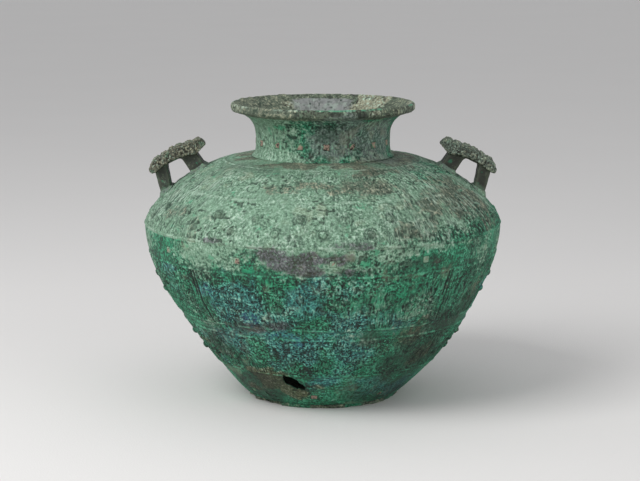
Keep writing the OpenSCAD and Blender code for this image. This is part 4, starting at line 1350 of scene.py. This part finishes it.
def chaplet_copper(name, patina):
    f = Finish(name, patina)
    medium, fine, grain = f.noise(0.006, 4, 0.6), f.noise(0.003, 4, 0.6), f.noise(0.0012, 2, 0.6)
    mottle = 0.5 * medium + 0.3 * fine + 0.2 * grain
    f.base = f.tints(mottle, "umber copper copper lime")
    minted = f.between(f.trait("mint"), 0.3, 0.7)
    grown = f.mix(minted, patina.forest, patina.sage)
    hidden = f.noise(0.035, 2, 0.5, 5.9) - 0.5
    spread = f.trait("edge") + 0.9 * (medium - 0.5) + 0.5 * (fine - 0.5) + 1.1 * hidden
    over = f.between(spread + 0.45 * f.trait("cover"), 0.55, 1.05)
    f.lay(0.9 * over, f.mix(fine, grown, f.mix(minted, patina.green, patina.mint)))
    return f.close(0.6 + 0.25 * fine, f.bump(0.6 * fine + 0.4 * grain, 0.0004), 0.1)


def tin_solder(name, patina):
    f = Finish(name, patina)
    medium, fine, grain = f.noise(0.008, 4, 0.6), f.noise(0.0034, 4, 0.6), f.noise(0.0014, 2, 0.6)
    mottle = 0.3 * medium + 0.35 * fine + 0.35 * grain
    f.base = f.tints(mottle, "shade tin sage mint")
    f.lay(0.6 * f.between(medium, 0.55, 0.8), patina.crust)
    f.lay(0.7 * f.trait("hollow"), patina.umber)
    return f.close(0.65 + 0.25 * fine, f.bump(0.6 * fine + 0.4 * grain, 0.0006))


def pale_floor(name, tint):
    f = Finish(name)
    mottle = f.noise(0.4, 3, 0.5)
    f.base = f.mix(0.06 * mottle, tint, (0.6, 0.6, 0.6))
    return f.close(0.9, f.bump(f.noise(0.002, 2), 0.0001))


# Operators

HandlePiece = namedtuple("HandlePiece", "part voxel smoothing swell grain grain_size seed grow slot make")
HANDLE_PIECES = (
    HandlePiece("loop", 0.0007, 24, 0.0008, 0.0005, 0.005, 140, 0.0004, "handle_bronze", leg_patina),
    HandlePiece("crest", 0.0005, 2, 0.0008, 0.0021, 0.0023, 150, 0.0, "crest_bronze", crest_crust),
    HandlePiece("solder", 0.0005, 10, 0.0006, 0.0006, 0.0035, 160, 0.0002, "solder", tin_solder),
)
LAMP_AIM = 0.16


class JAR_OT_lower_belly(bpy.types.Operator):
    """Casts the lower belly with its registers, bosses and hole"""

    bl_idname = "jar.lower_belly"
    bl_label = "Lower Belly"

    def execute(self, context):
        dress(cast_lower_belly(context.scene), ["lower_belly"], wall_patina)
        return {"FINISHED"}


class JAR_OT_shoulder(bpy.types.Operator):
    """Casts the shoulder with its registers"""

    bl_idname = "jar.shoulder"
    bl_label = "Shoulder"

    def execute(self, context):
        dress(cast_shoulder(context.scene), ["shoulder"], wall_patina)
        return {"FINISHED"}


class JAR_OT_neck(bpy.types.Operator):
    """Casts the neck, its foot ring and the flared rim"""

    bl_idname = "jar.neck"
    bl_label = "Neck"

    def execute(self, context):
        dress(cast_neck(context.scene), ["neck"], wall_patina)
        return {"FINISHED"}


class JAR_OT_base_plate(bpy.types.Operator):
    """Casts the base plate with its broken edge"""

    bl_idname = "jar.base_plate"
    bl_label = "Base Plate"

    def execute(self, context):
        dress(cast_base(), ["base_plate"], wall_patina)
        return {"FINISHED"}


class JAR_OT_chaplets(bpy.types.Operator):
    """Sets the chaplets in their pockets"""

    bl_idname = "jar.chaplets"
    bl_label = "Chaplets"

    def execute(self, context):
        for ring in (NECK_CHAPLETS, BELT_CHAPLETS, FOOT_CHAPLETS):
            dress(set_chaplets(context.scene, ring), [ring.node], chaplet_copper)
        dress(set_base_chaplets(context.scene), ["base_chaplets"], chaplet_copper)
        return {"FINISHED"}


class JAR_OT_handles(bpy.types.Operator):
    """Recasts the handle loops, crests and solder, and finishes the tenons"""

    bl_idname = "jar.handles"
    bl_label = "Handles"

    def execute(self, context):
        for number, side in enumerate(("left", "right")):
            for kind in HANDLE_PIECES:
                node = side + "_handle_" + kind.part
                piece = recast(node, side + "_" + kind.part, kind.voxel, kind.smoothing)
                if kind.part == "solder":
                    feather(context.scene, piece.data)
                weather(piece, kind.swell, kind.grain, kind.grain_size, kind.seed + number, kind.grow)
                if kind.part != "solder":
                    add_traits(piece.data, handle_traits(context.scene, piece.data, side))
                dress(piece, [node], kind.make)
            coat(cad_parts[side + "_handle_tenons"], leg_patina)
        return {"FINISHED"}


class JAR_OT_stage(bpy.types.Operator):
    """Sets the camera, the lamps and the floor"""

    bl_idname = "jar.stage"
    bl_label = "Stage"

    def execute(self, context):
        scene, stage = context.scene, context.scene.jar_stage
        scene.view_settings.view_transform = "Standard"
        camera = bpy.data.objects.new("camera", bpy.data.cameras.new("camera"))
        camera.data.sensor_width = 36
        camera.data.lens = stage.lens
        camera.location = stage.eye
        camera.rotation_euler = (math.pi / 2 - stage.pitch, 0, 0)
        scene.collection.objects.link(camera)
        scene.camera = camera
        self.lamp(scene, "key_lamp", (-1.3, -1.1, 1.7), stage.key_power, 1.3)
        self.lamp(scene, "fill_lamp", (1.6, -1.4, 0.9), stage.fill_power, 1.6)
        self.floor(scene, stage)
        self.sky(scene, stage.sky)
        return {"FINISHED"}

    def lamp(self, scene, name, place, power, size):
        light = bpy.data.lights.new(name, "AREA")
        light.energy = power
        light.size = size
        lamp = bpy.data.objects.new(name, light)
        lamp.location = place
        aim = lamp.location * -1
        aim.z += LAMP_AIM
        lamp.rotation_euler = aim.to_track_quat("-Z", "Y").to_euler()
        scene.collection.objects.link(lamp)

    def floor(self, scene, stage):
        half = 30.0
        mesh = bpy.data.meshes.new("floor")
        corners = [(-half, -half, 0), (half, -half, 0), (half, half, 0), (-half, half, 0)]
        mesh.from_pydata(corners, [], [(0, 1, 2, 3)])
        mesh.materials.append(pale_floor("pale_floor", stage.floor))
        ground = bpy.data.objects.new("floor", mesh)
        scene.collection.objects.link(ground)

    def sky(self, scene, strength):
        world = bpy.data.worlds.new("studio")
        scene.world = world
        world.use_nodes = True
        backdrop = world.node_tree.nodes["Background"]
        backdrop.inputs["Color"].default_value = (0.92, 0.93, 0.95, 1)
        backdrop.inputs["Strength"].default_value = strength


class JAR_PT_panel(bpy.types.Panel):
    """Lists the steps that build the jar"""

    bl_idname = "JAR_PT_panel"
    bl_label = "Wine Jar"
    bl_space_type = "VIEW_3D"
    bl_region_type = "UI"
    bl_category = "Wine Jar"

    def draw(self, context):
        for operator in OPERATORS:
            self.layout.operator(operator.bl_idname)


SETTINGS = {
    "jar_wall": JarWallSettings,
    "jar_ornament": JarOrnamentSettings,
    "jar_patina": JarPatinaSettings,
    "jar_stage": JarStageSettings,
}
OPERATORS = (
    JAR_OT_stage, JAR_OT_base_plate, JAR_OT_lower_belly, JAR_OT_shoulder, JAR_OT_neck,
    JAR_OT_chaplets, JAR_OT_handles,
)


def register():
    for group in SETTINGS.values():
        bpy.utils.register_class(group)
    for name, group in SETTINGS.items():
        setattr(bpy.types.Scene, name, PointerProperty(type=group))
    for operator in OPERATORS:
        bpy.utils.register_class(operator)
    bpy.utils.register_class(JAR_PT_panel)


def unregister():
    bpy.utils.unregister_class(JAR_PT_panel)
    for operator in reversed(OPERATORS):
        bpy.utils.unregister_class(operator)
    for name, group in SETTINGS.items():
        delattr(bpy.types.Scene, name)
        bpy.utils.unregister_class(group)


def main():
    register()
    bpy.ops.jar.stage()
    bpy.ops.jar.base_plate()
    bpy.ops.jar.lower_belly()
    bpy.ops.jar.shoulder()
    bpy.ops.jar.neck()
    bpy.ops.jar.chaplets()
    bpy.ops.jar.handles()


if __name__ == "__main__":
    main()
